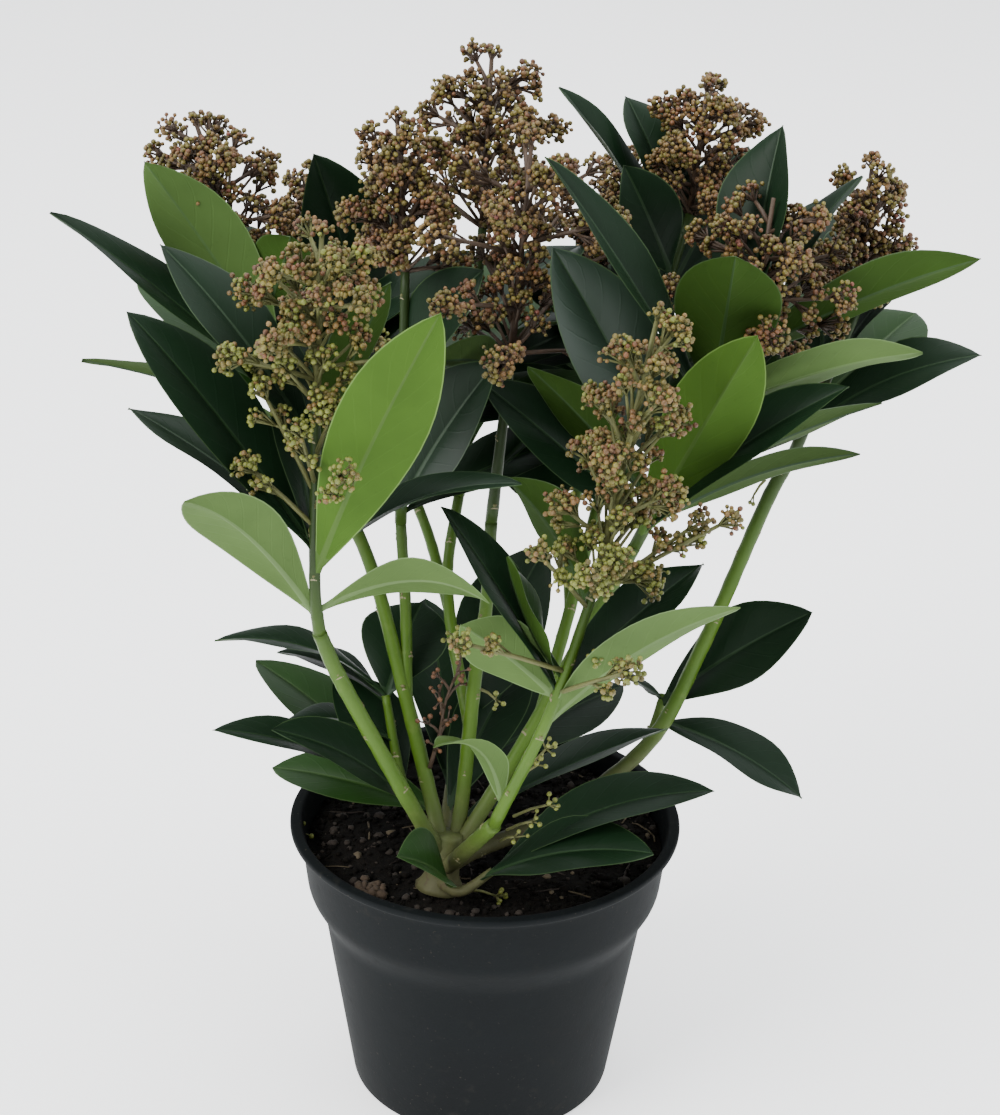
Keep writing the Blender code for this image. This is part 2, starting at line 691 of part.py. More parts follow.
def build_limbs(space, bark, green):
    make_object("trunk", trunk_shape(), bark)
    space.add("trunk", trunk_shape(CLEARANCE / 2))
    made = ["trunk"]
    for name, bough in BOUGHS.items():
        limb = make_object(name, bough_shape(name), green)
        near = [other for other in made if other in ("trunk", bough.parent)
                or bough.parent == "trunk"]
        apply_boolean(limb, "DIFFERENCE", [limb_tool(other, bark) for other in near])
        drop_scraps(limb)
        space.add(name, bough_shape(name, CLEARANCE / 2))
        made.append(name)


def build_masses(space, leaf_green, bark):
    for name, mass in grow_masses(space).items():
        thing = make_object(name, mass["stem"], leaf_green)
        curve = mass["curve"]
        shapes = list(mass["pieces"])
        for leaf in mass["leaves"]:
            shapes.append(leaf_shape(along_route(curve, leaf.at), leaf))
        pieces = [make_object("piece", shape, leaf_green) for shape in shapes]
        apply_boolean(thing, "UNION", pieces)
        near = [SHOOTS[name].parent]
        if near == ["trunk"]:
            near += [bough for bough, limb in BOUGHS.items() if limb.parent == "trunk"]
        apply_boolean(thing, "DIFFERENCE", [limb_tool(limb, bark) for limb in near])
        drop_scraps(thing)


def build():
    remove_start_objects()
    plastic = plain_material("pot_plastic", (0.028, 0.034, 0.038), 0.62)
    peat = plain_material("potting_soil", (0.010, 0.007, 0.005), 0.95)
    bark = plain_material("young_bark", (0.13, 0.14, 0.045), 0.7)
    green = plain_material("green_stem", (0.12, 0.24, 0.04), 0.5)
    leaf_green = plain_material("leaf", (0.022, 0.065, 0.018), 0.38)
    space = Space()
    build_pot(space, plastic)
    build_soil(peat)
    build_limbs(space, bark, green)
    build_masses(space, leaf_green, bark)


build()
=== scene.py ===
"""A potted skimmia, dressed for a catalogue: pot, compost, woody base, green shoots, leathery
leaves and cones of flower buds.

The part's solids give every place and size. The plant grows here by the same rule as its
solids, carried on to separate leaves, twigs, bud stalks and buds.
"""
import json
import math
import random
from collections import namedtuple

import bpy
from mathutils import Matrix, Vector, noise
from mathutils.bvhtree import BVHTree

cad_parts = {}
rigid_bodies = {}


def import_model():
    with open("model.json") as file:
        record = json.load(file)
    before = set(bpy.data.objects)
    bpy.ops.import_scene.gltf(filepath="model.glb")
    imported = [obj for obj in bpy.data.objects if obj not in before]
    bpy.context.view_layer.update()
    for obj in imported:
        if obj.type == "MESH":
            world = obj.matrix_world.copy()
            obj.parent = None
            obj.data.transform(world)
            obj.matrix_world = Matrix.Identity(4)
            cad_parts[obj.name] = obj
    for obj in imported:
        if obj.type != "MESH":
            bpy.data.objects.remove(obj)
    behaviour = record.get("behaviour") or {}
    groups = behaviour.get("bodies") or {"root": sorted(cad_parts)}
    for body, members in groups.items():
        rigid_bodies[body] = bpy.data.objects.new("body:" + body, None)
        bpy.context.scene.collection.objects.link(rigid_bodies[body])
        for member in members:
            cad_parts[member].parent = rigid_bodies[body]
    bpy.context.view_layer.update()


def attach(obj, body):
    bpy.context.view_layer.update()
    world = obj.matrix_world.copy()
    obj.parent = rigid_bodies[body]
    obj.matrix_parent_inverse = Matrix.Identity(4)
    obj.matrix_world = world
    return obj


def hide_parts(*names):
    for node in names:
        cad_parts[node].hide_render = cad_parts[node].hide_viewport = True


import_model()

# ---------------------------------------------------------------- The room
# A pale level floor that runs out of sight under soft daylight: one broad window high on the
# left, a weaker one on the right and a wide pale ceiling. The camera looks down a little.
PLANT_MIDDLE = Vector((0, 0, 0.18))
SENSOR_HEIGHT = 36
PICTURE_HEIGHT = 1115
# In rows of the picture
FOCAL_LENGTH = 2400
CAMERA_PITCH = math.radians(24.6)
CAMERA_ROLL = math.radians(1.3)
CAMERA_PLACE = (0.003, -0.6935, 0.5102)
floor_mesh = bpy.data.meshes.new("floor")
floor_mesh.from_pydata([(-6, -4, 0), (6, -4, 0), (6, 14, 0), (-6, 14, 0)], [], [(0, 1, 2, 3)])
floor = bpy.data.objects.new("floor", floor_mesh)
bpy.context.scene.collection.objects.link(floor)
floor_paint = bpy.data.materials.new("floor_paint")
floor_paint.use_nodes = True
floor_shader = floor_paint.node_tree.nodes["Principled BSDF"]
floor_shader.inputs["Base Color"].default_value = (0.90, 0.90, 0.90, 1)
floor_shader.inputs["Roughness"].default_value = 0.9
floor_shader.inputs["Emission Color"].default_value = (1, 1, 1, 1)
floor_shader.inputs["Emission Strength"].default_value = 1.05
floor_mesh.materials.append(floor_paint)

daylight = bpy.data.worlds.new("daylight")
daylight.use_nodes = True
daylight.node_tree.nodes["Background"].inputs["Color"].default_value = (0.93, 0.96, 1.0, 1)
daylight.node_tree.nodes["Background"].inputs["Strength"].default_value = 1.05
bpy.context.scene.world = daylight


def hang_lamp(name, place, size, watts, colour):
    lamp = bpy.data.lights.new(name, "AREA")
    lamp.shape = "SQUARE"
    lamp.size = size
    lamp.energy = watts
    lamp.color = colour
    holder = bpy.data.objects.new(name, lamp)
    holder.location = place
    aim = PLANT_MIDDLE - Vector(place)
    holder.rotation_euler = aim.to_track_quat("-Z", "Y").to_euler()
    bpy.context.scene.collection.objects.link(holder)


hang_lamp("left_window", (-1.3, -1.0, 1.5), 1.2, 52, (1.0, 0.99, 0.97))
hang_lamp("right_window", (1.5, -0.7, 1.0), 1.2, 14, (0.95, 0.98, 1.0))
hang_lamp("ceiling", (0.1, 0.5, 1.9), 1.8, 40, (0.96, 0.98, 1.0))

lens = bpy.data.cameras.new("camera")
lens.sensor_fit = "VERTICAL"
lens.sensor_height = SENSOR_HEIGHT
lens.lens = FOCAL_LENGTH * SENSOR_HEIGHT / PICTURE_HEIGHT
camera = bpy.data.objects.new("camera", lens)
ahead = Vector((0, math.cos(CAMERA_PITCH), -math.sin(CAMERA_PITCH)))
upward = Vector((0, math.sin(CAMERA_PITCH), math.cos(CAMERA_PITCH)))
rightward = Vector((1, 0, 0))
right_edge = rightward * math.cos(CAMERA_ROLL) + upward * math.sin(CAMERA_ROLL)
top_edge = upward * math.cos(CAMERA_ROLL) - rightward * math.sin(CAMERA_ROLL)
camera.matrix_world = Matrix(((right_edge.x, top_edge.x, -ahead.x, CAMERA_PLACE[0]),
                              (right_edge.y, top_edge.y, -ahead.y, CAMERA_PLACE[1]),
                              (right_edge.z, top_edge.z, -ahead.z, CAMERA_PLACE[2]),
                              (0, 0, 0, 1)))
bpy.context.scene.collection.objects.link(camera)
bpy.context.scene.camera = camera

# ---------------------------------------------------------------- The pot
# A nursery pot, injection moulded in dark slate polypropylene with a collar under its lip. It
# stands on its flat underside, and is matt, a little dusty and marked by splashes of compost.
MM = 0.001
POT_OUTSIDE = [(0, 0, 0), (44, 0, 1.8), (54, 65, 3), (59.2, 74, 3), (61.5, 94, 1.6),
               (65, 96, 0.8), (65, 98, 0.9)]
POT_INSIDE = [(61.3, 98, 0.8), (60.1, 94, 1.5), (57.8, 74, 3), (52.6, 65, 3), (42.6, 2, 2),
              (0, 2, 0)]
POT_SIDES = 144
# Millimetres between the rows of points down its wall
POT_ROW_SPACING = 4


class Wire:
    """One output of a finish's nodes. Reckoning with it adds the Math node that does the sum."""

    def __init__(self, finish, socket):
        self.finish = finish
        self.socket = socket

    def reckon(self, operation, first, second):
        return self.finish.node("ShaderNodeMath", {"operation": operation},
                                {0: first, 1: second})

    def __add__(self, other):
        return self.reckon("ADD", self, other)

    def __sub__(self, other):
        return self.reckon("SUBTRACT", self, other)

    def __rsub__(self, other):
        return self.reckon("SUBTRACT", other, self)

    def __mul__(self, other):
        return self.reckon("MULTIPLY", self, other)

    def __truediv__(self, other):
        return self.reckon("DIVIDE", self, other)

    def __abs__(self):
        return self.reckon("ABSOLUTE", self, 0.0)

    __radd__ = __add__
    __rmul__ = __mul__


class Finish:
    """A material, whose nodes are made from expressions and plain settings."""

    def __init__(self, name):
        self.material = bpy.data.materials.new(name)
        self.material.use_nodes = True
        self.tree = self.material.node_tree
        self.shader = self.tree.nodes["Principled BSDF"]
        place = self.node("ShaderNodeTexCoord", {}, {})
        self.place = Wire(self, place.socket.node.outputs["Object"])

    def put(self, socket, value):
        if isinstance(value, Wire):
            self.tree.links.new(value.socket, socket)
        else:
            socket.default_value = value

    def node(self, kind, settings, sockets, output=0):
        made = self.tree.nodes.new(kind)
        for name, value in settings.items():
            setattr(made, name, value)
        for name, value in sockets.items():
            self.put(made.inputs[name], value)
        return Wire(self, made.outputs[output])

    def noise(self, grain_mm, detail):
        """Smooth noise from 0 to 1 whose lumps are about so many millimetres across."""
        return self.node("ShaderNodeTexNoise", {},
                         {"Vector": self.place, "Scale": 1 / (grain_mm * MM),
                          "Detail": detail, "Roughness": 0.55})

    def step(self, value, low, high):
        """0 below low and 1 above high, eased between them."""
        return self.node("ShaderNodeMapRange", {"interpolation_type": "SMOOTHSTEP"},
                         {"Value": value, "From Min": low, "From Max": high})

    def mix(self, mask, first, second):
        first = first if isinstance(first, Wire) else (*first, 1)
        second = second if isinstance(second, Wire) else (*second, 1)
        return self.node("ShaderNodeMix", {"data_type": "RGBA"}, {0: mask, 6: first, 7: second}, 2)

    def mottle(self, grain_mm, detail, first, second):
        """Two colours in soft patches about so many millimetres across."""
        return self.mix(self.noise(grain_mm, detail), first, second)

    def height(self):
        parts = self.node("ShaderNodeSeparateXYZ", {}, {0: self.place})
        return Wire(self, parts.socket.node.outputs["Z"])

    def bump(self, relief, depth_mm):
        return self.node("ShaderNodeBump", {}, {"Height": relief, "Distance": depth_mm * MM})

    def wear(self, colour=None, roughness=None, normal=None, **fixed):
        for name, value in (("Base Color", colour), ("Roughness", roughness),
                            ("Normal", normal)):
            if value is not None:
                plain = not isinstance(value, Wire) and name == "Base Color"
                self.put(self.shader.inputs[name], (*value, 1) if plain else value)
        for name, value in fixed.items():
            self.shader.inputs[name.replace("_", " ")].default_value = value
        return self.material


class Heap:
    """Gathers many small shapes, given in millimetres, into one mesh."""

    def __init__(self):
        self.points = []
        self.faces = []
        self.kinds = []
        self.flat_places = []

    def add(self, points, faces, kinds=None, flat_places=None):
        base = len(self.points)
        self.points += [Vector(p) * MM for p in points]
        self.faces += [tuple(base + k for k in face) for face in faces]
        self.kinds += kinds or [0] * len(faces)
        if flat_places:
            self.flat_places += flat_places

    def make(self, name, materials, slot, *stands_for):
        """The piece itself, riding on the plant, in place of the solids that it stands for."""
        mesh = bpy.data.meshes.new(name)
        mesh.from_pydata(self.points, [], self.faces)
        for material in materials:
            mesh.materials.append(material)
        mesh.polygons.foreach_set("material_index", self.kinds)
        if self.flat_places:
            layer = mesh.uv_layers.new(name="blade")
            corners = [v for loop in mesh.loops for v in self.flat_places[loop.vertex_index]]
            layer.data.foreach_set("uv", corners)
        mesh.shade_smooth()
        piece = bpy.data.objects.new(name, mesh)
        bpy.context.scene.collection.objects.link(piece)
        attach(piece, "root")
        if stands_for:
            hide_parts(*stands_for)
        return piece


def round_off(profile, steps=4):
    """A turned outline with each corner (radius, z, rounding) softened to an arc."""
    eased = []
    for k, (r, z, soft) in enumerate(profile):
        corner = Vector((r, z))
        if soft == 0:
            eased.append(corner)
            continue
        before = Vector(profile[k - 1][:2]) - corner
        after = Vector(profile[k + 1][:2]) - corner
        start = corner + before.normalized() * min(soft, before.length * 0.45)
        end = corner + after.normalized() * min(soft, after.length * 0.45)
        for j in range(steps + 1):
            t = j / steps
            eased.append(start * (1 - t) ** 2 + corner * 2 * t * (1 - t) + end * t ** 2)
    return eased


def turn_on_lathe(profile, sides):
    """A solid of revolution from a closed outline of (radius, z)."""
    points = []
    rings = []
    for r, z in profile:
        count = 1 if r < 1e-6 else sides
        rings.append(range(len(points), len(points) + count))
        for k in range(count):
            turn = math.tau * k / sides
            points.append((r * math.cos(turn), r * math.sin(turn), z))
    faces = []
    for low, high in zip(rings, rings[1:]):
        for k in range(sides):
            after = (k + 1) % sides
            quad = [low[k % len(low)], low[after % len(low)], high[after % len(high)],
                    high[k % len(high)]]
            faces.append(tuple(dict.fromkeys(quad)))
    return points, faces


pot_outline = []
pot_corners = round_off(POT_OUTSIDE + POT_INSIDE)
for a, b in zip(pot_corners, pot_corners[1:]):
    pieces_between = max(1, round((b - a).length / POT_ROW_SPACING))
    pot_outline += [a.lerp(b, k / pieces_between) for k in range(pieces_between)]
pot_outline.append(Vector((0, 2)))
pot_shape = Heap()
pot_shape.add(*turn_on_lathe(pot_outline, POT_SIDES))

slate = Finish("slate_plastic")
cloudy = slate.noise(26, 4)
specks = slate.step(slate.noise(1.1, 2), 0.68, 0.76)
scuffs = slate.step(slate.noise(5.5, 6), 0.56, 0.74)
splashed = slate.step(slate.height(), 0.05, 0.0) * 0.35
splashed = splashed + slate.step(slate.height(), 0.082, 0.098) * 0.5
skin = slate.mix(cloudy, (0.0030, 0.0040, 0.0044), (0.0058, 0.0074, 0.0082))
skin = slate.mix(scuffs * (0.10 + splashed * 0.5), skin, (0.030, 0.028, 0.024))
skin = slate.mix(specks * (0.12 + splashed * 0.5), skin, (0.10, 0.085, 0.065))
pot_finish = slate.wear(skin, 0.62 + cloudy * 0.10 + scuffs * 0.08,
                        slate.bump(slate.noise(0.7, 2) * 0.4 + slate.noise(9, 3), 0.12),
                        Specular_IOR_Level=0.08)
pot_shape.make("nursery_pot", [pot_finish], "pot_plastic", "pot")

# ---------------------------------------------------------------- The compost
# Moist peat compost, nearly black, filled to just under the lip. Its top is loose crumbs with
# a few brown bark chips, fibres and dry leaf bits lying on it.
SOIL_LEVEL = 90
SOIL_EDGE = 59.2
SOIL_RINGS = 46
SOIL_SIDES = 150
PLUG_SIDES = 72
CRUMB_COUNT = 2300
FIBRE_COUNT = 46
FIBRE_STEPS = 6
soil_dice = random.Random(31)


def soil_height(x, y):
    """The compost's own surface: broad dips, then lumps, then crumbs."""
    rise = 0.9 * noise.noise(Vector((x, y, 3)) / 22)
    rise += 0.7 * noise.noise(Vector((x, y, 9)) / 6)
    rise += 0.45 * noise.noise(Vector((x, y, 17)) / 2.2)
    edge = max(0.0, (math.hypot(x, y) - (SOIL_EDGE - 7)) / 7)
    return SOIL_LEVEL - 0.5 + rise - 1.2 * edge


soil_shape = Heap()
soil_points, soil_faces = turn_on_lathe([(SOIL_EDGE * k / SOIL_RINGS, 0)
                                         for k in range(SOIL_RINGS + 1)], SOIL_SIDES)
soil_points = [(x, y, soil_height(x, y)) for x, y, z in soil_points]
soil_shape.add(soil_points, [tuple(reversed(face)) for face in soil_faces][::-1])
soil_plug = turn_on_lathe([(0, 2.3), (42.3, 2.3), (52.3, 65), (57.5, 74), (SOIL_EDGE, 86)],
                          PLUG_SIDES)
soil_shape.add(*soil_plug)


def rough_lump(size, dice, flat=0.7):
    """An uneven twenty-sided crumb."""
    golden = (1 + math.sqrt(5)) / 2
    corners = [(-1, golden, 0), (1, golden, 0), (-1, -golden, 0), (1, -golden, 0),
               (0, -1, golden), (0, 1, golden), (0, -1, -golden), (0, 1, -golden),
               (golden, 0, -1), (golden, 0, 1), (-golden, 0, -1), (-golden, 0, 1)]
    faces = [(0, 11, 5), (0, 5, 1), (0, 1, 7), (0, 7, 10), (0, 10, 11), (1, 5, 9), (5, 11, 4),
             (11, 10, 2), (10, 7, 6), (7, 1, 8), (3, 9, 4), (3, 4, 2), (3, 2, 6), (3, 6, 8),
             (3, 8, 9), (4, 9, 5), (2, 4, 11), (6, 2, 10), (8, 6, 7), (9, 8, 1)]
    turn = Matrix.Rotation(dice.uniform(0, 6), 3, Vector((dice.uniform(-1, 1), 1, 0.3)))
    stretch = Vector((dice.uniform(0.7, 1.3), dice.uniform(0.7, 1.3), flat))
    points = []
    for corner in corners:
        point = turn @ Vector(corner) * (size / 1.9 * dice.uniform(0.75, 1.2))
        points.append(Vector((point.x * stretch.x, point.y * stretch.y, point.z * stretch.z)))
    return points, faces


crumbs = {"dark": Heap(), "brown": Heap(), "straw": Heap()}
for k in range(CRUMB_COUNT):
    r = SOIL_EDGE * 0.985 * math.sqrt(soil_dice.random())
    turn = soil_dice.uniform(0, math.tau)
    x, y = r * math.cos(turn), r * math.sin(turn)
    size = 0.45 + 1.5 * soil_dice.random() ** 3
    tint = soil_dice.random()
    heap = crumbs["dark" if tint < 0.82 else "brown" if tint < 0.975 else "straw"]
    points, faces = rough_lump(size, soil_dice)
    lift = Vector((x, y, soil_height(x, y) + size * 0.2))
    heap.add([p + lift for p in points], faces)


def lay_fibre(heap, dice, long, thick):
    """A thin curved strand that lies on the compost."""
    r = SOIL_EDGE * 0.9 * math.sqrt(dice.random())
    turn = dice.uniform(0, math.tau)
    bend = dice.uniform(-0.9, 0.9)
    heading = dice.uniform(0, math.tau)
    spot = Vector((r * math.cos(turn), r * math.sin(turn), 0))
    points = []
    for k in range(FIBRE_STEPS + 1):
        spot = spot + Vector((math.cos(heading), math.sin(heading), 0)) * long / FIBRE_STEPS
        heading += bend / FIBRE_STEPS
        if spot.length > SOIL_EDGE - 2:
            spot *= (SOIL_EDGE - 2) / spot.length
        base = Vector((spot.x, spot.y, soil_height(spot.x, spot.y) + thick * 0.6))
        across = Vector((-math.sin(heading), math.cos(heading), 0)) * thick / 2
        points += [base + across, base + Vector((0, 0, thick / 2)), base - across]
    faces = []
    for k in range(FIBRE_STEPS):
        for j in range(3):
            after = (j + 1) % 3
            faces.append((3 * k + j, 3 * k + after, 3 * k + 3 + after, 3 * k + 3 + j))
    last = 3 * FIBRE_STEPS
    heap.add(points, faces + [(2, 1, 0), (last, last + 1, last + 2)])


for k in range(FIBRE_COUNT):
    lay_fibre(crumbs["brown" if k % 3 else "straw"], soil_dice, soil_dice.uniform(5, 16),
              soil_dice.uniform(0.3, 0.8))

peat = Finish("peat")
peat_grain = peat.noise(1.6, 6)
peat_patch = peat.noise(14, 3)
peat_colour = peat.mix(peat.step(peat_grain + peat_patch * 0.5, 0.5, 1.05),
                       (0.0019, 0.0016, 0.0013), (0.0068, 0.0050, 0.0037))
peat_finish = peat.wear(peat_colour, 0.9, peat.bump(peat_grain, 0.6), Specular_IOR_Level=0.12)
chip = Finish("bark_chips")
chip_finish = chip.wear(chip.mottle(2.5, 4, (0.008, 0.0052, 0.0034), (0.028, 0.017, 0.010)),
                        0.85, chip.bump(chip.noise(0.8, 3), 0.3))
straw = Finish("dry_bits")
straw_finish = straw.wear(straw.mottle(3, 3, (0.048, 0.034, 0.017), (0.10, 0.075, 0.042)), 0.8)
soil_shape.make("compost", [peat_finish], "potting_soil", "soil")
crumbs["dark"].make("peat_crumbs", [peat_finish], "potting_soil")
crumbs["brown"].make("bark_chips_and_fibres", [chip_finish], "potting_soil")
crumbs["straw"].make("dry_bits_on_compost", [straw_finish], "potting_soil")

# ---------------------------------------------------------------- Trunk and boughs
# One short pruned woody base with green shoots of this year and last. The bark is smooth and
# bright green, browner and faintly cracked near the compost, with pale crescent leaf scars;
# high in the crown its green is painted darker, as painted shade.
GAP = 0.3
UP = Vector((0, 0, 1))
GOLDEN_ANGLE = 137.5
ROUTE_STEPS = 3
TRUNK_FOOT = (-14, -33)
TRUNK_TOP = (-11.5, -30.5, 109)
# Share of the way up the trunk, and the radius there
TRUNK_TAPER = [(0.0, 8.2), (0.1, 6.9), (0.25, 5.4), (0.7, 4.9), (1.0, 4.5)]

# The limb each bough leaves, how far up that limb, the points it passes, its end radii
Bough = namedtuple("Bough", "parent fork route foot_radius tip_radius")
BOUGHS = {
    "bough_front_left": Bough("trunk", 0.64, [(-19, -36, 114), (-43, -50, 171), (-50, -57, 193)],
                              2.7, 2.2),
    "bough_left": Bough("trunk", 0.60, [(-16, -26, 113), (-27, -10, 150), (-40, 10, 188),
                                        (-60, 28, 220)], 2.6, 2.0),
    "bough_centre": Bough("trunk", 0.52, [(-8, -25, 113), (-4, -17, 159), (-1, -10, 180),
                                          (0, -5, 207)], 2.5, 2.0),
    "bough_right": Bough("trunk", 0.44, [(-4, -27, 110), (12, -18, 136), (30, -10, 170),
                                         (45, -8, 201)], 2.6, 2.1),
    "bough_far_right": Bough("trunk", 0.28, [(-4, -24, 98), (24, 0, 99), (55, 20, 116),
                                             (72, 25, 152), (90, 32, 200), (98, 35, 216)],
                             2.8, 2.3),
    "bough_front": Bough("trunk", 0.32, [(-8, -40, 106), (3, -53, 126)], 2.8, 2.5),
    "bough_top": Bough("bough_centre", 0.40, [(-12, 2, 165), (-14, 20, 180), (-11, 35, 199)],
                       2.0, 1.8),
    "bough_middle_left": Bough("bough_left", 0.36, [(-27, 2, 172), (-29, 9, 200)], 2.0, 1.8),
    "bough_back_right": Bough("bough_right", 0.48, [(26, 6, 172), (36, 33, 204)], 2.1, 1.8),
    "bough_back": Bough("bough_top", 0.50, [(-22, 38, 186), (-36, 66, 206)], 1.9, 1.7),
    "bough_far_back": Bough("bough_back_right", 0.45, [(26, 40, 186), (34, 74, 204)], 1.9, 1.7),
}
TRUNK_SIDES = 10
BOUGH_SIDES = 6
BARK_ROWS = 14
SCAR_SIDES = 8
# A limb is this much thicker at each old bud scale
KNOT_SWELL = 1.05


def smooth_route(route, steps):
    """Points along a smooth curve through the route's own points."""
    route = [Vector(p) for p in route]
    if len(route) == 2:
        return [route[0].lerp(route[1], k / steps) for k in range(steps + 1)]
    ends = [route[0] * 2 - route[1]] + route + [route[-1] * 2 - route[-2]]
    curve = []
    for a, b, c, d in zip(ends, ends[1:], ends[2:], ends[3:]):
        for k in range(steps):
            t = k / steps
            curve.append(0.5 * (2 * b + (c - a) * t + (2 * a - 5 * b + 4 * c - d) * t * t
                                + (3 * b - 3 * c + d - a) * t * t * t))
    return curve + [route[-1]]


def tube(curve, radii, sides):
    """A capped tube along a curve, one radius for each of its points."""
    curve = [Vector(p) for p in curve]
    points = []
    side = None
    for k, centre in enumerate(curve):
        along = (curve[min(k + 1, len(curve) - 1)] - curve[max(k - 1, 0)]).normalized()
        if side is None:
            side = along.orthogonal().normalized()
        side = (side - along * side.dot(along)).normalized()
        across = along.cross(side)
        for j in range(sides):
            turn = math.tau * j / sides
            points.append(centre + (side * math.cos(turn) + across * math.sin(turn)) * radii[k])
    faces = [tuple(reversed(range(sides)))]
    for k in range(len(curve) - 1):
        for j in range(sides):
            after = (j + 1) % sides
            faces.append((k * sides + j, k * sides + after,
                          (k + 1) * sides + after, (k + 1) * sides + j))
    faces.append(tuple(range((len(curve) - 1) * sides, len(curve) * sides)))
    return points, faces


def taper(start, end, count):
    return [start + (end - start) * k / (count - 1) for k in range(count)]


def direction(heading, rise):
    heading = math.radians(heading)
    rise = math.radians(rise)
    return Vector((math.cos(rise) * math.cos(heading), math.cos(rise) * math.sin(heading),
                   math.sin(rise)))


def along_route(curve, share):
    """The point a given share of the way along a curve."""
    lengths = [(b - a).length for a, b in zip(curve, curve[1:])]
    left = share * sum(lengths)
    for start, end, length in zip(curve, curve[1:], lengths):
        if left <= length:
            return start.lerp(end, left / length)
        left -= length
    return curve[-1].copy()


def trunk_line(share):
    foot = Vector((*TRUNK_FOOT, SOIL_LEVEL + GAP))
    return foot.lerp(Vector(TRUNK_TOP), share)


def bough_line(name, steps):
    """A bough's centre line, from the middle of the limb it leaves."""
    bough = BOUGHS[name]
    if bough.parent == "trunk":
        foot = trunk_line(bough.fork)
    else:
        foot = along_route(bough_line(bough.parent, ROUTE_STEPS), bough.fork)
    return smooth_route([foot] + bough.route, steps)


def bark_tube(heap, curve, radii, sides, roughness, seed):
    """A limb with its bark's relief: long shallow ridges, and a ring at each old bud scale."""
    points, faces = tube(curve, radii, sides)
    rough = []
    for k, point in enumerate(points):
        centre = curve[k // sides]
        out = Vector(point) - centre
        place = Vector(point)
        ridge = noise.noise(Vector((place.x * 1.3, place.y * 1.3, place.z * 0.35 + seed)))
        grain = noise.noise(place * 2.1 + Vector((seed, 0, 0)))
        rough.append(centre + out * (1 + roughness * (0.7 * ridge + 0.3 * grain)))
    heap.add(rough, faces)


def scar(heap, buds, centre, along, out, radius, dice):
    """A crescent leaf scar, standing a little proud of the bark, with a small bud above it."""
    across = along.cross(out).normalized()
    wide = dice.uniform(1.0, 1.5)
    high = dice.uniform(0.45, 0.7)
    points = []
    for k in range(SCAR_SIDES + 1):
        turn = math.tau * k / SCAR_SIDES if k < SCAR_SIDES else 0
        reach = 0 if k == SCAR_SIDES else 1
        bend = across * (math.cos(turn) * wide * reach) + along * (math.sin(turn) * high * reach)
        sink = 0.12 if k < SCAR_SIDES else -0.28
        bend -= along * (0.35 * (math.cos(turn) ** 2) * reach)
        points.append(centre + out * (radius - sink - 0.12 * wide * reach * abs(math.cos(turn)))
                      + bend)
    heap.add(points, [(k, (k + 1) % SCAR_SIDES, SCAR_SIDES) for k in range(SCAR_SIDES)])
    nub = centre + along * (high + 0.5) + out * (radius * 0.9)
    lump, faces = rough_lump(dice.uniform(0.5, 0.75), dice, 1.0)
    buds.add([nub + p for p in lump], faces)


limbs = Heap()
scars = Heap()
nubs = Heap()
limb_dice = random.Random(7)
trunk_curve = [trunk_line(k / BARK_ROWS) for k in range(BARK_ROWS + 1)]
trunk_radii = []
for k in range(BARK_ROWS + 1):
    for (low, low_radius), (high, high_radius) in zip(TRUNK_TAPER, TRUNK_TAPER[1:]):
        if low <= k / BARK_ROWS <= high:
            share = (k / BARK_ROWS - low) / (high - low)
            trunk_radii.append(low_radius + (high_radius - low_radius) * share)
            break
bark_tube(limbs, trunk_curve, trunk_radii, 28, 0.09, 3)


def dress_limb(curve, radii, spacing, first, seed):
    """Bark and leaf scars along one limb, from a centre line with closely set points."""
    knots = 0.0
    travelled = 0.0
    marks = []
    for k in range(1, len(curve)):
        travelled += (curve[k] - curve[k - 1]).length
        if travelled > first + knots * spacing:
            marks.append(k)
            knots += limb_dice.uniform(0.75, 1.25)
    swollen = list(radii)
    for k in marks:
        swollen[k] *= KNOT_SWELL
    bark_tube(limbs, curve, swollen, 12, 0.05, seed)
    for j, k in enumerate(marks):
        if k + 1 >= len(curve):
            continue
        along = (curve[k + 1] - curve[k]).normalized()
        side = along.orthogonal().normalized()
        out = Matrix.Rotation(math.radians(j * GOLDEN_ANGLE + seed * 40), 3, along) @ side
        scar(scars, nubs, curve[k], along, out, radii[k], limb_dice)


for number, (name, bough) in enumerate(BOUGHS.items()):
    curve = bough_line(name, 12)
    radii = taper(bough.foot_radius, bough.tip_radius, len(curve))
    dress_limb(curve, radii, 11, 14, number)


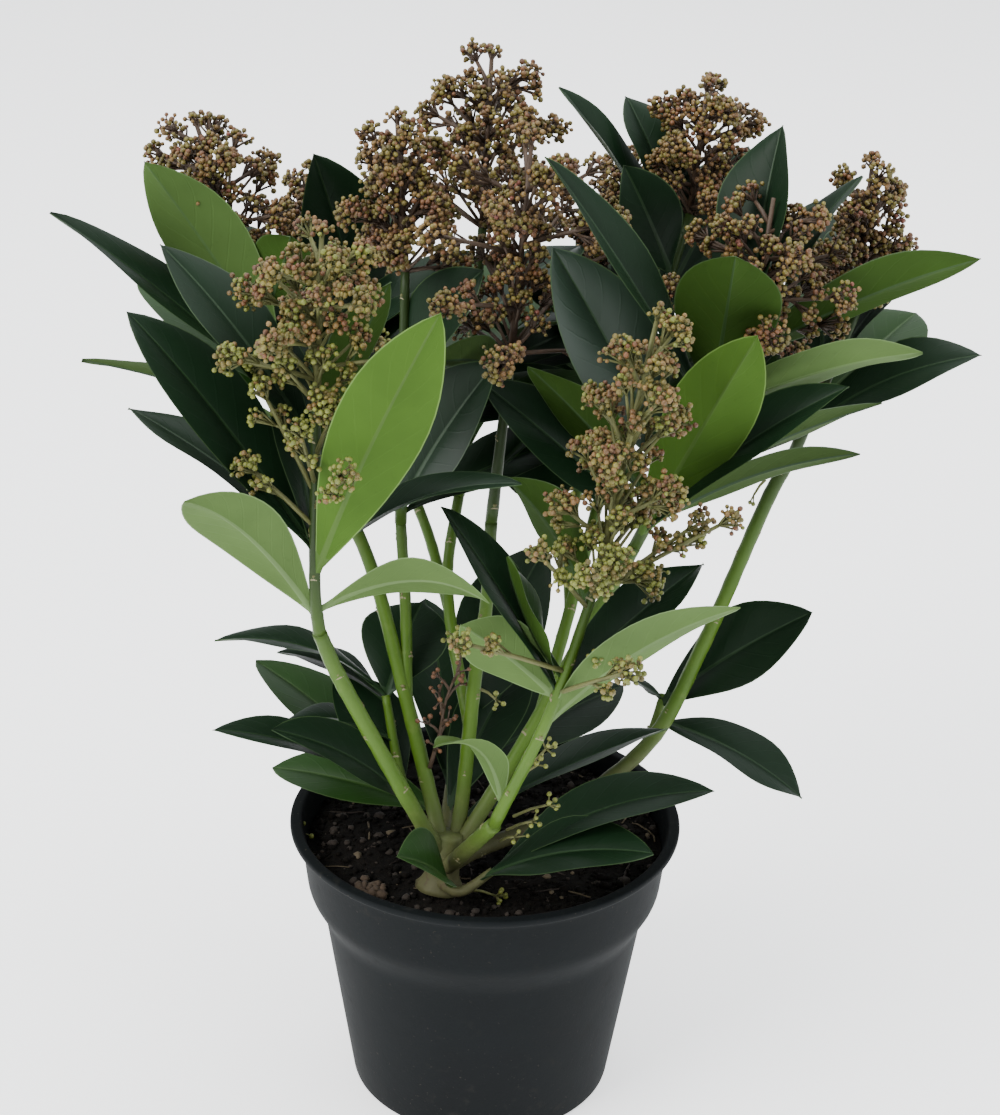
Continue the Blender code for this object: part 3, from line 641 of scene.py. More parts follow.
# ---------------------------------------------------------------- Where the shoots grow
# Every bough ends in a leafy shoot, and low tufts stand round the trunk. A shoot's route runs
# from its limb to its throat; its cone of flower buds stands from there to its peak.
Leaf = namedtuple("Leaf", "at heading rise long wide arch roll fold", defaults=(0.22,))
Spray = namedtuple("Spray", "at heading rise long")
Shoot = namedtuple("Shoot", "parent route peak cone_width cone_count leaves sprays fill fill_from "
                            "fill_to fill_rise seed")
SHOOTS = {
    "crown_front_left": Shoot(
        "bough_front_left", [(-50, -57, 193), (-51, -59, 212), (-50, -58, 266)],
        (-48, -55, 319), 62, 15,
        [Leaf(0.06, 229, 47, 73, 22, 9, 48),
         Leaf(0.26, 318, 62, 106, 26, -3, -59),
         Leaf(0.10, 340, 14, 56, 17, 10, -60),
         Leaf(0.36, 165, 51, 88, 30, 3, -14),
         Leaf(0.80, 152, 46, 74, 26, 3, -4),
         Leaf(0.40, 160, 30, 68, 22, 2, 4),
         Leaf(0.76, 24, 66, 56, 20, 2, -67),
         Leaf(0.34, 115, 66, 70, 22, 2, 25),
         Leaf(0.28, 358, 28, 67, 24, 8, -4)],
        [Spray(0.48, 202, 48, 29), Spray(0.62, 195, 66, 36), Spray(0.56, 291, 38, 35),
         Spray(0.78, 299, 55, 34), Spray(0.66, 258, 57, 26)], 0, 0, 0, 0, 11),
    "crown_left": Shoot(
        "bough_left", [(-60, 28, 220), (-81, 42, 275)], (-97, 48, 323), 58, 13,
        [Leaf(0.10, 187, 43, 104, 27, 4, -8),
         Leaf(0.02, 195, 24, 77, 20, 3, 34),
         Leaf(0.40, 197, 55, 82, 28, 3, 62),
         Leaf(0.70, 302, 58, 40, 21, 2, -38)],
        [], 6, 20, 150, 16, 32),
    "crown_middle_left": Shoot(
        "bough_middle_left", [(-29, 9, 200), (-28, 12, 283)], (-31, 14, 334), 46, 11,
        [Leaf(0.60, 334, 56, 46, 24, 2, 60),
         Leaf(0.05, 315, 56, 74, 28, 2, 86, 0.4)],
        [], 5, 0, 180, 16, 73),
    "crown_top": Shoot(
        "bough_top", [(-11, 35, 199), (-5, 50, 286)], (-3, 55, 345), 60, 15,
        [], [], 8, -40, 220, 16, 44),
    "crown_centre": Shoot(
        "bough_centre", [(0, -5, 207), (5, -2, 262)], (10, 8, 331), 84, 20,
        [Leaf(0.90, 218, 12, 34, 25, 3, 40)],
        [], 5, -30, 210, 16, 75),
    "crown_back_right": Shoot(
        "bough_back_right", [(36, 33, 204), (62, 60, 289)], (66, 65, 333), 56, 12,
        [Leaf(0.78, 223, 60, 46, 22, 2, -104),
         Leaf(0.92, 130, 54, 50, 24, 2, 2, 0.4),
         Leaf(0.85, 160, 50, 66, 18, 2, 1, 0.4),
         Leaf(0.06, 172, 2, 38, 30, 2, -50)],
        [], 6, 10, 130, 18, 36),
    "crown_right": Shoot(
        "bough_right", [(45, -8, 201), (79, 5, 269)], (83, 8, 313), 66, 15,
        [Leaf(0.10, 184, 43, 71, 27, 2, -32),
         Leaf(0.18, 204, 48, 71, 20, 3, 40),
         Leaf(0.32, 193, 59, 85, 31, 2, -62),
         Leaf(0.02, 308, 60, 95, 26, 3, -55),
         Leaf(0.65, 272, 60, 70, 32, 3, -11),
         Leaf(0.05, 343, 44, 84, 28, 5, 21),
         Leaf(0.14, 354, 32, 80, 20, 4, -40),
         Leaf(0.06, 4, 22, 72, 14, 6, -60),
         Leaf(0.85, 357, 28, 80, 26, 4, -52),
         Leaf(0.60, 340, 26, 72, 25, 4, -40),
         Leaf(1.00, 72, 66, 63, 30, 2, -35, 0.4),
         Leaf(1.00, 32, 48, 58, 21, 3, -16),
         Leaf(0.60, 203, 57, 104, 19, 3, -45, 0.45)],
        [], 2, 70, 130, 18, 17),
    "crown_far_right": Shoot(
        "bough_far_right", [(98, 35, 216), (116, 44, 262)], (118, 50, 314), 40, 11,
        [Leaf(0.12, 341, 33, 66, 27, 6, 23),
         Leaf(0.90, 88, 28, 44, 24, 2, 29),
         Leaf(0.50, 48, 40, 55, 24, 2, -29)],
        [Spray(0.50, 225, 40, 22)], 5, 50, 150, 20, 18),
    "crown_front": Shoot(
        "bough_front", [(3, -53, 126), (19, -66, 173), (31, -62, 213)], (47, -50, 298), 46, 14,
        [Leaf(0.08, 221, 50, 42, 17, 9, 16),
         Leaf(0.60, 188, 41, 38, 22, 3, 75),
         Leaf(0.67, 166, 55, 42, 16, -3, 0, 0.5),
         Leaf(0.62, 165, 57, 66, 24, 2, -2),
         Leaf(0.46, 337, 43, 80, 24, 5, -37),
         Leaf(0.62, 38, 26, 62, 27, 2, -9),
         Leaf(0.92, 135, 44, 46, 27, 3, 76)],
        [Spray(0.92, 222, 49, 30), Spray(0.97, 264, 36, 27), Spray(0.95, 9, 37, 38),
         Spray(0.97, 4, 31, 45), Spray(0.62, 306, 33, 38), Spray(0.80, 342, 4, 37),
         Spray(0.70, 208, 26, 38), Spray(0.66, 351, 32, 32)],
        0, 0, 0, 0, 19),
    "crown_back": Shoot(
        "bough_back", [(-36, 66, 206), (-52, 84, 252)], (-64, 92, 296), 44, 11,
        [Leaf(0.60, 233, 72, 77, 33, 2, -105, 0.3)],
        [], 8, 0, 200, 18, 20),
    "crown_far_back": Shoot(
        "bough_far_back", [(34, 74, 204), (42, 96, 254)], (46, 106, 300), 44, 11,
        [], [], 8, -20, 190, 18, 21),
    "foliage_low_left": Shoot(
        "trunk", [(-15, -30, 103), (-26, -20, 118), (-33, -7, 146)], None, 0, 0,
        [Leaf(1.00, 184, 21, 58, 20, 7, 7),
         Leaf(0.95, 162, 16, 40, 22, 4, 12),
         Leaf(0.70, 177, 7, 37, 20, 5, 12),
         Leaf(0.32, 200, 31, 74, 23, 6, -2),
         Leaf(0.20, 207, 39, 66, 25, 6, -18),
         Leaf(0.98, 70, 34, 37, 29, 2, 9),
         Leaf(0.40, 136, 42, 44, 29, 2, 3)],
        [], 2, 90, 150, 10, 22),
    "foliage_low_front": Shoot(
        "trunk", [(-14, -36, 94), (-7, -46, 97), (3, -43, 103)], None, 0, 0,
        [Leaf(1.00, 12, 17, 75, 29, 8, -2),
         Leaf(0.80, 350, 18, 57, 29, 6, 6),
         Leaf(0.25, 231, 42, 35, 22, 3, -35, 0.45)],
        [], 0, 0, 0, 0, 23),
    "foliage_low_right": Shoot(
        "bough_far_right", [(54.5, 20, 115.5), (57, 27, 119), (60, 34, 127)], None, 0, 0,
        [Leaf(0.50, 345, -22, 56, 26, 4, 5),
         Leaf(0.80, 352, 39, 63, 28, 3, 42),
         Leaf(0.90, 190, 30, 32, 14, 2, 0)],
        [], 0, 0, 0, 0, 24),
    "foliage_low_back": Shoot(
        "trunk", [(-13, -28, 100), (-12, 4, 106), (-8, 26, 118)], None, 0, 0,
        [Leaf(1.00, 358, 69, 73, 32, 3, 60)],
        [], 6, 20, 170, 8, 24),
}
# The age of each placed leaf, in order: d dark, m mid green, y young and bright, p pale;
# s is a dark leaf whose upper side is painted paler and bluer as painted sheen
TONES = {"crown_front_left": "pypdddmdd", "crown_left": "ddhm", "crown_right": "dmsymdddmpddd",
         "crown_front": "ppmdpdm", "foliage_low_front": "ddm"}
STEM_RADIUS = 2.0
THROAT_RADIUS = 1.4
PEAK_RADIUS = 0.8
PEDICEL_RADIUS = 0.8
CLUSTER_RADIUS = 6.8
SPRAY_CLUSTER_RADIUS = 5.4
PEDICEL_SWELL = 1.2
BUNCH_START = -0.8
BUNCH_WAIST = 0.05
CONE_WAIST = 0.3
CONE_SPAN = 0.78
CONE_BLUNTNESS = 0.7
CONE_TOP = 0.93
CONE_SHRINK = 0.3
CONE_SWING = 12
TWIG_DROP = 0.15
TWIG_SHARES = (1, 0.85, 0.7, 0.55)
CORE_STATIONS = [(0.02, 0.12), (0.14, 0.48), (0.36, 0.54), (0.60, 0.48), (0.82, 0.18)]
CORE_SIDES = 6
CORE_SCALES = (1, 0.85, 0.7, 0.55, 0.4)
CORE_UNEVEN = 0.2
PEAK_BUNCH = 0.55
BUNCH_SIDES = 5
STEM_SIDES = 5
AXIS_SIDES = 3
LEAF_THICKNESS = 1.1
PETIOLE_WIDTH = 2.4
PETIOLE_THICKNESS = 1.9
CLEARANCE = 1.0
NAMED_TRIES = 30
FILL_TRIES = 3
FILL_CHANCES = 4
NUDGE = 0.5
FILL_AT = (0.02, 0.65)
FILL_LONG = (64, 82)
FILL_WIDE = 0.35
FILL_ARCH = 4
FILL_SWING = (-12, 22)
FILL_ROLL = 20
LEAF_STATIONS = [(0.0, None), (0.26, 0.60), (0.50, 0.98), (0.78, 0.84), (1.0, 0.0)]
BLADE_START = 2


def leaf_axes(leaf):
    """The ways a leaf runs along, across and out of its face."""
    along = direction(leaf.heading, leaf.rise)
    turn = Matrix.Rotation(math.radians(leaf.roll), 3, along)
    side = turn @ along.cross(UP).normalized()
    return along, side, side.cross(along)


def leaf_shape(root, leaf, swell=0.0, start=0):
    """A thin folded blade on its stalk, from the stem's axis at root to its pointed tip."""
    along, side, face = leaf_axes(leaf)
    long = leaf.long + swell
    points = []
    for share, fullness in LEAF_STATIONS[start:]:
        middle = root + along * long * share + face * (4 * leaf.arch * share * (1 - share))
        if fullness == 0:
            points.append(middle)
            continue
        half = PETIOLE_WIDTH / 2
        thick = PETIOLE_THICKNESS
        if fullness is not None:
            half = leaf.wide / 2 * fullness
            thick = LEAF_THICKNESS
        lift = face * (half * leaf.fold)
        half += swell / 2
        thick += swell
        points += [middle + side * half + lift, middle + face * thick / 2,
                   middle - side * half + lift, middle - face * thick / 2]
    faces = [(0, 1, 2, 3)]
    rings = len(points) // 4
    for k in range(rings - 1):
        for j in range(4):
            after = (j + 1) % 4
            faces.append((4 * k + after, 4 * k + j, 4 * k + 4 + j, 4 * k + 4 + after))
    for j in range(4):
        faces.append((4 * (rings - 1) + (j + 1) % 4, 4 * (rings - 1) + j, len(points) - 1))
    return points, faces


def bunch_shape(root, end, radius):
    """A twig and the tight bunch of flower buds at its end, as one solid."""
    out = (end - root).normalized()
    curve = [root, end + out * radius * BUNCH_START, end + out * radius * BUNCH_WAIST]
    points, faces = tube(curve, [PEDICEL_RADIUS, PEDICEL_RADIUS * PEDICEL_SWELL, radius],
                         BUNCH_SIDES)
    ring = faces.pop()
    points.append(end + out * radius)
    for start, after in zip(ring, ring[1:] + ring[:1]):
        faces.append((start, after, len(points) - 1))
    return points, faces


def measured(shape):
    """The middle of a shape, its reach from there, and its faces, ready for overlap tests."""
    points, faces = shape
    middle = sum((Vector(p) for p in points), Vector()) / len(points)
    reach = max((Vector(p) - middle).length for p in points)
    return middle, reach, BVHTree.FromPolygons(points, faces)


class Space:
    """What is already placed, so that a new leaf or cluster keeps clear of it."""

    def __init__(self):
        self.taken = []

    def add(self, owner, shape):
        self.taken.append((owner, *measured(shape)))

    def is_clear(self, shape, ignore=()):
        middle, reach, tree = measured(shape)
        for owner, other_middle, other_reach, other in self.taken:
            if owner in ignore or (other_middle - middle).length > reach + other_reach:
                continue
            if tree.overlap(other):
                return False
        return True


def cone_reach(shoot, share):
    """How far a cone of buds reaches from its axis, a share of the way up it."""
    return shoot.cone_width / 2 * (1 - ((share - CONE_WAIST) / CONE_SPAN) ** 2) ** CONE_BLUNTNESS


def cone_core(shoot, scale):
    """The lumpy middle of a cone, where its twigs stand too close to see between."""
    throat = Vector(shoot.route[-1])
    axis = Vector(shoot.peak) - throat
    points, faces = tube([throat + axis * share for share, _ in CORE_STATIONS],
                         [cone_reach(shoot, share) * width * scale
                          for share, width in CORE_STATIONS], CORE_SIDES)
    rng = random.Random(shoot.seed)
    for number, point in enumerate(points):
        centre = throat + axis * CORE_STATIONS[number // CORE_SIDES][0]
        points[number] = centre + (point - centre) * rng.uniform(1 - CORE_UNEVEN, 1 + CORE_UNEVEN)
    return points, faces


def cone_twigs(shoot, rng):
    """The twigs of a cone of buds: (root, end, cluster radius), by golden angle up the axis."""
    if shoot.peak is None:
        return []
    throat = Vector(shoot.route[-1])
    axis = Vector(shoot.peak) - throat
    twigs = []
    for k in range(shoot.cone_count):
        share = (k + 0.5) / shoot.cone_count
        out = direction(k * GOLDEN_ANGLE + rng.uniform(-CONE_SWING, CONE_SWING), 0)
        reach = cone_reach(shoot, share) * (1 - 2 * CLUSTER_RADIUS / shoot.cone_width)
        size = CLUSTER_RADIUS * (1 - CONE_SHRINK * share)
        end = throat + axis * (share * CONE_TOP) + out * reach
        root = throat + axis * max(0.0, share * CONE_TOP - TWIG_DROP)
        twigs.append((root, end, size))
    twigs.append((throat + axis * (CONE_TOP - TWIG_DROP), throat + axis * CONE_TOP,
                  CLUSTER_RADIUS * PEAK_BUNCH))
    return twigs


def spray_twigs(shoot, curve):
    """Longer twigs that leave the stem below the cone, each ending in a small bunch."""
    return [(along_route(curve, spray.at),
             along_route(curve, spray.at) + direction(spray.heading, spray.rise) * spray.long,
             SPRAY_CLUSTER_RADIUS) for spray in shoot.sprays]


def place_leaf(space, name, curve, leaf, tries, rng):
    """The leaf, nudged until it is clear of every other mass and of the rest of its own."""
    root = along_route(curve, leaf.at)
    for k in range(tries):
        nudge = NUDGE * k
        trial = leaf._replace(heading=leaf.heading + rng.uniform(-nudge, nudge),
                              rise=leaf.rise + rng.uniform(-nudge, nudge),
                              roll=leaf.roll + rng.uniform(-nudge, nudge))
        whole = leaf_shape(root, trial, CLEARANCE)
        blade = leaf_shape(root, trial, CLEARANCE, BLADE_START)
        own_stem = name + " stem"
        if space.is_clear(whole, (name, own_stem)) and space.is_clear(blade, (own_stem,)):
            space.add(name, blade)
            space.add(own_stem, leaf_shape(root, trial))
            return trial
    return None


def swollen_trunk(swell):
    curve = [trunk_line(share) for share, _ in TRUNK_TAPER]
    points, faces = tube(curve, [radius + swell for _, radius in TRUNK_TAPER], TRUNK_SIDES)
    for k in range(TRUNK_SIDES):
        points[k].z = curve[0].z - swell
        points[-1 - k].z += swell
    return points, faces


def fill_leaf(shoot, k, rng):
    """The next leaf of a shoot's seeded fill, by golden angle across the side it faces."""
    sweep = (k * GOLDEN_ANGLE) % 360 / 360
    long = rng.uniform(*FILL_LONG)
    return Leaf(rng.uniform(*FILL_AT),
                shoot.fill_from + (shoot.fill_to - shoot.fill_from) * sweep,
                shoot.fill_rise + rng.uniform(*FILL_SWING), long, long * FILL_WIDE,
                FILL_ARCH, rng.uniform(-FILL_ROLL, FILL_ROLL))


space = Space()
lip_side = [(54.5, 65), (59.7, 74), (62, 94), (65.5, 96), (65.5, 97.4)]
space.add("pot", turn_on_lathe(lip_side + [(64.9, 98.5), (60.3, 98.5), (60.3, 90.5), (0, 90.5)],
                               32))
space.add("trunk", swollen_trunk(CLEARANCE / 2))
for name, bough in BOUGHS.items():
    curve = bough_line(name, ROUTE_STEPS)
    radii = taper(bough.foot_radius + CLEARANCE / 2, bough.tip_radius + CLEARANCE / 2, len(curve))
    space.add(name, tube(curve, radii, BOUGH_SIDES))

# Stems and cone axes come first, then the leaves that have a place, then buds, then the rest
grown = {}
for name, shoot in SHOOTS.items():
    curve = smooth_route(shoot.route, ROUTE_STEPS)
    curve[0] = curve[0] + (curve[1] - curve[0]).normalized() * GAP
    radii = taper(STEM_RADIUS + CLEARANCE / 2, THROAT_RADIUS + CLEARANCE / 2, len(curve))
    grown[name] = {"curve": curve, "twigs": [], "leaves": [], "rng": random.Random(shoot.seed)}
    space.add(name + " stem", tube(curve, radii, STEM_SIDES))
for name, shoot in SHOOTS.items():
    if shoot.peak is not None:
        throat = grown[name]["curve"][-1]
        axis = [throat, throat.lerp(Vector(shoot.peak), CONE_TOP)]
        space.add(name + " stem", tube(axis, [THROAT_RADIUS, PEAK_RADIUS], AXIS_SIDES))
for name, shoot in SHOOTS.items():
    mass = grown[name]
    for tone, leaf in zip(TONES.get(name, "") + "d" * len(shoot.leaves), shoot.leaves):
        placed = place_leaf(space, name, mass["curve"], leaf, NAMED_TRIES, mass["rng"])
        if placed:
            mass["leaves"].append((tone, placed))
for name, shoot in SHOOTS.items():
    mass = grown[name]
    own = (name, name + " stem")
    for scale in CORE_SCALES if shoot.peak else ():
        if space.is_clear(cone_core(shoot, scale), own):
            mass["core"] = scale
            space.add(own[1], cone_core(shoot, scale))
            break
    for root, end, size in cone_twigs(shoot, mass["rng"]) + spray_twigs(shoot, mass["curve"]):
        for share in TWIG_SHARES:
            near = root.lerp(end, share)
            swollen = bunch_shape(root, near, size + CLEARANCE / 2)
            if space.is_clear(swollen, own[1:]):
                mass["twigs"].append((root, near, size))
                space.add(own[1], swollen)
                break
for name, shoot in SHOOTS.items():
    mass = grown[name]
    made = 0
    for k in range(shoot.fill * FILL_CHANCES):
        if made == shoot.fill:
            break
        leaf = fill_leaf(shoot, k, mass["rng"])
        placed = place_leaf(space, name, mass["curve"], leaf, FILL_TRIES, mass["rng"])
        if placed:
            mass["leaves"].append(("ddm"[k % 3], placed))
            made += 1

# ---------------------------------------------------------------- Bark of limbs and shoots
# The same smooth green bark runs on up every shoot's stem, so limbs and stems are one skin.
for number, (name, shoot) in enumerate(SHOOTS.items()):
    curve = smooth_route(shoot.route, 10)
    radii = taper(STEM_RADIUS, THROAT_RADIUS, len(curve))
    dress_limb(curve, radii, 9, 5, 20 + number)

bark = Finish("young_bark")
up_the_limb = bark.step(bark.height(), 0.096, 0.135)
streak = bark.noise(5, 5)
patch = bark.noise(16, 2)
fresh_bark_and_painted_shade = bark.mix(patch, (0.038, 0.086, 0.006), (0.068, 0.132, 0.012))
fresh_bark_and_painted_shade = bark.mix(bark.step(streak, 0.58, 0.72) * 0.35, fresh_bark_and_painted_shade, (0.105, 0.150, 0.030))
# From 165 to 225 mm up, the green bark is painted darker: painted shade from the leaves above.
fresh_bark_and_painted_shade = bark.mix(bark.step(bark.height(), 0.165, 0.225), fresh_bark_and_painted_shade, (0.016, 0.032, 0.006))
old = bark.mix(streak, (0.042, 0.046, 0.018), (0.090, 0.084, 0.036))
old = bark.mix(bark.step(bark.noise(2.2, 4), 0.56, 0.66) * 0.6, old, (0.055, 0.037, 0.021))
bark_finish = bark.wear(bark.mix(up_the_limb, old, fresh_bark_and_painted_shade), 0.62 - up_the_limb * 0.16,
                        bark.bump(bark.noise(1.2, 4), 0.12), Specular_IOR_Level=0.22)
scar_skin = Finish("leaf_scar_cork")
scar_finish = scar_skin.wear(scar_skin.mottle(1.2, 3, (0.13, 0.11, 0.055),
                                              (0.24, 0.23, 0.13)), 0.75)
nub_skin = Finish("side_bud")
nub_finish = nub_skin.wear(nub_skin.mottle(1.0, 3, (0.06, 0.10, 0.018),
                                           (0.14, 0.09, 0.040)), 0.55)
limbs.make("trunk_boughs_and_stems", [bark_finish], "green_stem", "trunk", *BOUGHS)
scars.make("leaf_scars", [scar_finish], "green_stem")
nubs.make("side_buds", [nub_finish], "green_stem")

# ---------------------------------------------------------------- Leaves
# Thick leathery blades: dark and glossy above with a sunk pale midrib and a thin pale edge,
# matt and paler below, on short broad stalks. Young and turned ones are brighter green.
LEAF_ROWS = 18
BLADE_COLUMNS = 11
STALK_SHARE = 0.13
# A blade's finishes: upper and under skin, midrib, edge, and the rib's under side
EDGE_KIND = 3
MIDRIB_KIND = 2


def blade_half(leaf, share):
    """Half the blade's width at a share of the way along it."""
    full = max(0.0, math.sin(math.pi * min(1.0, share ** 1.3))) ** 0.8
    tip = min(1.0, (1 - share) * 9)
    return max(leaf.wide / 2 * full, 1.15 * tip ** 0.5 * (1 - 0.4 * share))


def leaf_blade(root, leaf, dice):
    """One leaf's upper and under skins, with its zones: 0 skin, 1 under, 2 midrib, 3 edge."""
    along, side, face = leaf_axes(leaf)
    wave = dice.uniform(0.3, 0.9)
    phase = dice.uniform(0, math.tau)
    sway = dice.uniform(-0.02, 0.02) * leaf.long
    curl = dice.uniform(-0.8, 2.0)
    points = []
    flat_places = []
    for layer in (1, -1):
        for row in range(LEAF_ROWS + 1):
            share = row / LEAF_ROWS
            share = share - 0.035 * math.sin(math.tau * share)
            half = blade_half(leaf, share)
            middle = root + along * leaf.long * share
            middle += face * (4 * leaf.arch * share * (1 - share) - curl * share ** 4)
            middle += side * sway * math.sin(math.pi * share)
            rib = min(0.42 * half, 0.30 + 0.75 * (1 - share) ** 1.5)
            edge = max(half - 0.38, half * 0.75)
            inner = rib + (edge - rib) * 0.33
            outer = rib + (edge - rib) * 0.70
            thick = 0.34 + 0.9 * max(0.0, 1 - share / STALK_SHARE)
            for across in (-half, -edge, -outer, -inner, -rib, 0, rib, inner, outer, edge, half):
                u = across / half
                lift = half * leaf.fold * (1.22 * abs(u) - 0.22 * u * u)
                lift += wave * u * u * math.sin(phase + 11 * share + 2.2 * math.copysign(1, u))
                body = thick / 2 * (1 - u * u) ** 0.5 if abs(u) < 1 else 0
                groove = 0.0
                if abs(across) <= rib * 1.01:
                    groove = -0.30 if layer == 1 else 0.42
                    groove *= min(1.0, half / 5) * (1.0 if across == 0 else 0.35)
                puff = 0.30 * math.sin(math.pi * min(1.0, abs(u) * 1.02)) * min(1.0, half / 6)
                offset = lift + layer * (body + groove) + puff * 0.8
                points.append(middle + side * across + face * offset)
                flat_places.append((0.5 + u / 2, share))
    faces = []
    kinds = []
    for layer in range(2):
        start = layer * (LEAF_ROWS + 1) * BLADE_COLUMNS
        for row in range(LEAF_ROWS):
            for c in range(BLADE_COLUMNS - 1):
                a = start + row * BLADE_COLUMNS + c
                quad = (a, a + 1, a + BLADE_COLUMNS + 1, a + BLADE_COLUMNS)
                faces.append(quad if layer == 1 else quad[::-1])
                stalk = row / LEAF_ROWS < STALK_SHARE * 0.8
                if stalk or c in (4, 5):
                    kinds.append(MIDRIB_KIND + 2 * layer)
                elif c in (0, BLADE_COLUMNS - 2):
                    kinds.append(EDGE_KIND)
                else:
                    kinds.append(layer)
    return points, faces, kinds, flat_places


leaf_heaps = {tone: Heap() for tone in "dsmhyp"}
for name, mass in grown.items():
    leaf_dice = random.Random(name)
    for tone, leaf in mass["leaves"]:
        root = along_route(mass["curve"], leaf.at)
        leaf_heaps[tone].add(*leaf_blade(root, leaf, leaf_dice))


def leaf_finishes(name, upper, under, rib, edge, sheen):
    """The skins of one age of leaf: upper, under, midrib, edge, and the rib's under side."""
    made = []
    for part_name, colour, rough in (("upper", upper, 0.40), ("under", under, 0.65),
                                     ("midrib", rib, 0.45), ("edge", edge, 0.5),
                                     ("under_rib", rib, 0.6)):
        skin = Finish(name + "_" + part_name)
        blotch = skin.noise(24, 3)
        fine = skin.noise(2.2, 4)
        tint = skin.mix(blotch, [c * 0.74 for c in colour], [c * 1.24 for c in colour])
        if part_name in ("upper", "under"):
            blade = skin.node("ShaderNodeUVMap", {"uv_map": "blade"}, {})
            parts = skin.node("ShaderNodeSeparateXYZ", {}, {0: blade})
            across = abs(Wire(skin, parts.socket.node.outputs["X"]) - 0.5)
            along = Wire(skin, parts.socket.node.outputs["Y"])
            ladder = skin.node("ShaderNodeMath", {"operation": "PINGPONG"},
                               {0: along * 9.0 - across * 4.4 + fine * 0.12, 1: 0.5})
            vein = skin.step(ladder, 0.085, 0.0) * skin.step(across, 0.49, 0.36)
            tint = skin.mix(vein * 0.10, tint, [min(1, c * 1.6 + 0.004) for c in colour])
            tint = skin.mix(skin.step(fine, 0.62, 0.74) * 0.25, tint,
                            [c * 0.6 for c in colour])
            relief = fine * 0.35 - vein * (0.5 if part_name == "upper" else -0.7)
            skin.wear(tint, rough + blotch * 0.12, skin.bump(relief, 0.07),
                      Specular_IOR_Level=sheen if part_name == "upper" else 0.06)
        else:
            skin.wear(tint, rough, skin.bump(fine, 0.05), Specular_IOR_Level=0.2)
        made.append(skin.material)
    return made


LEAF_AGES = {
    "d": ("dark_leaf", (0.0052, 0.0165, 0.0062), (0.030, 0.054, 0.014), (0.014, 0.034, 0.012),
          (0.030, 0.058, 0.020), 0.12),
    # A dark leaf glossier than d, whose upper side, midrib and edge are also painted paler and bluer:
    # painted sheen.
    "s": ("shiny_leaf_painted_sheen", (0.0105, 0.0260, 0.0135), (0.030, 0.054, 0.014), (0.020, 0.042, 0.018),
          (0.040, 0.070, 0.030), 0.50),
    "m": ("mid_leaf", (0.012, 0.038, 0.006), (0.026, 0.056, 0.008), (0.026, 0.058, 0.014),
          (0.040, 0.076, 0.022), 0.15),
    "h": ("half_leaf", (0.020, 0.056, 0.009), (0.052, 0.096, 0.024), (0.040, 0.082, 0.020),
          (0.070, 0.125, 0.034), 0.18),
    "y": ("young_leaf", (0.058, 0.110, 0.030), (0.046, 0.098, 0.013), (0.046, 0.095, 0.012),
          (0.090, 0.165, 0.030), 0.15),
    "p": ("pale_leaf", (0.060, 0.110, 0.020), (0.072, 0.122, 0.036), (0.092, 0.150, 0.050),
          (0.100, 0.165, 0.055), 0.15),
}
for tone, heap in leaf_heaps.items():
    piece = heap.make(LEAF_AGES[tone][0] + "s", leaf_finishes(*LEAF_AGES[tone]), "foliage")
    if tone == "d":
        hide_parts(*SHOOTS)

# ---------------------------------------------------------------- Cones of flower buds
# Each upper shoot ends in a stiff upright cone: an axis, twigs in a spiral and, along each
# twig, stalks that fan out from one point and carry knots of three to five small round buds.
BUD_SIDES = 6
BUD_RADIUS = 0.84
KNOTS_A_BUNCH = 15
BRANCHLET_RADIUS = 4.8
INNER_BUNCHES = 28
KNOT_STALK = (0.45, 0.36)
BUD_STALK = (0.26, 0.24)


def bud_shape(centre, out, radius, dice):
    """A round closed bud with its small calyx: kinds are 0 for petals and 1 for the calyx."""
    side = out.orthogonal().normalized()
    side = Matrix.Rotation(dice.uniform(0, math.tau), 3, out) @ side
    over = out.cross(side)
    rings = [(-1.0, 0.0), (-0.66, 0.72), (0.0, 1.0), (0.66, 0.72), (1.04, 0.0)]
    points = []
    faces = []
    kinds = []
    for high, wide in rings:
        count = 1 if wide == 0 else BUD_SIDES
        for k in range(count):
            turn = math.tau * k / BUD_SIDES
            reach = radius * wide
            points.append(centre + out * (high * radius)
                          + (side * math.cos(turn) + over * math.sin(turn)) * reach)
    top = len(points) - 1
    for k in range(BUD_SIDES):
        after = (k + 1) % BUD_SIDES
        faces.append((0, 1 + after, 1 + k))
        kinds.append(1)
        for level in range(2):
            low = 1 + level * BUD_SIDES
            high = low + BUD_SIDES
            faces.append((low + k, low + after, high + after, high + k))
            kinds.append(0)
        faces.append((high + k, high + after, top))
        kinds.append(0)
    return points, faces, kinds


def twig_shape(heap, start, end, thick, thin, sides, sag=0.0):
    """A slim twig or stalk, slightly bent."""
    middle = start.lerp(end, 0.5) + UP * sag
    heap.add(*tube([start, middle, end], [thick, (thick + thin) / 2, thin], sides))


def fan_out(out, count, widest, first_turn):
    """Directions that fan out round one, by golden angle, out to a share of a right angle."""
    side = out.orthogonal().normalized()
    over = out.cross(side)
    for k in range(count):
        tilt = math.radians(90 * widest) * math.sqrt((k + 0.4) / count)
        turn = math.radians(k * GOLDEN_ANGLE) + first_turn
        yield out * math.cos(tilt) + (side * math.cos(turn) + over * math.sin(turn)) * math.sin(tilt)


def pick(shares, dice):
    chance = dice.random()
    for tint, share in shares:
        chance -= share
        if chance < 0:
            return tint
    return shares[0][0]


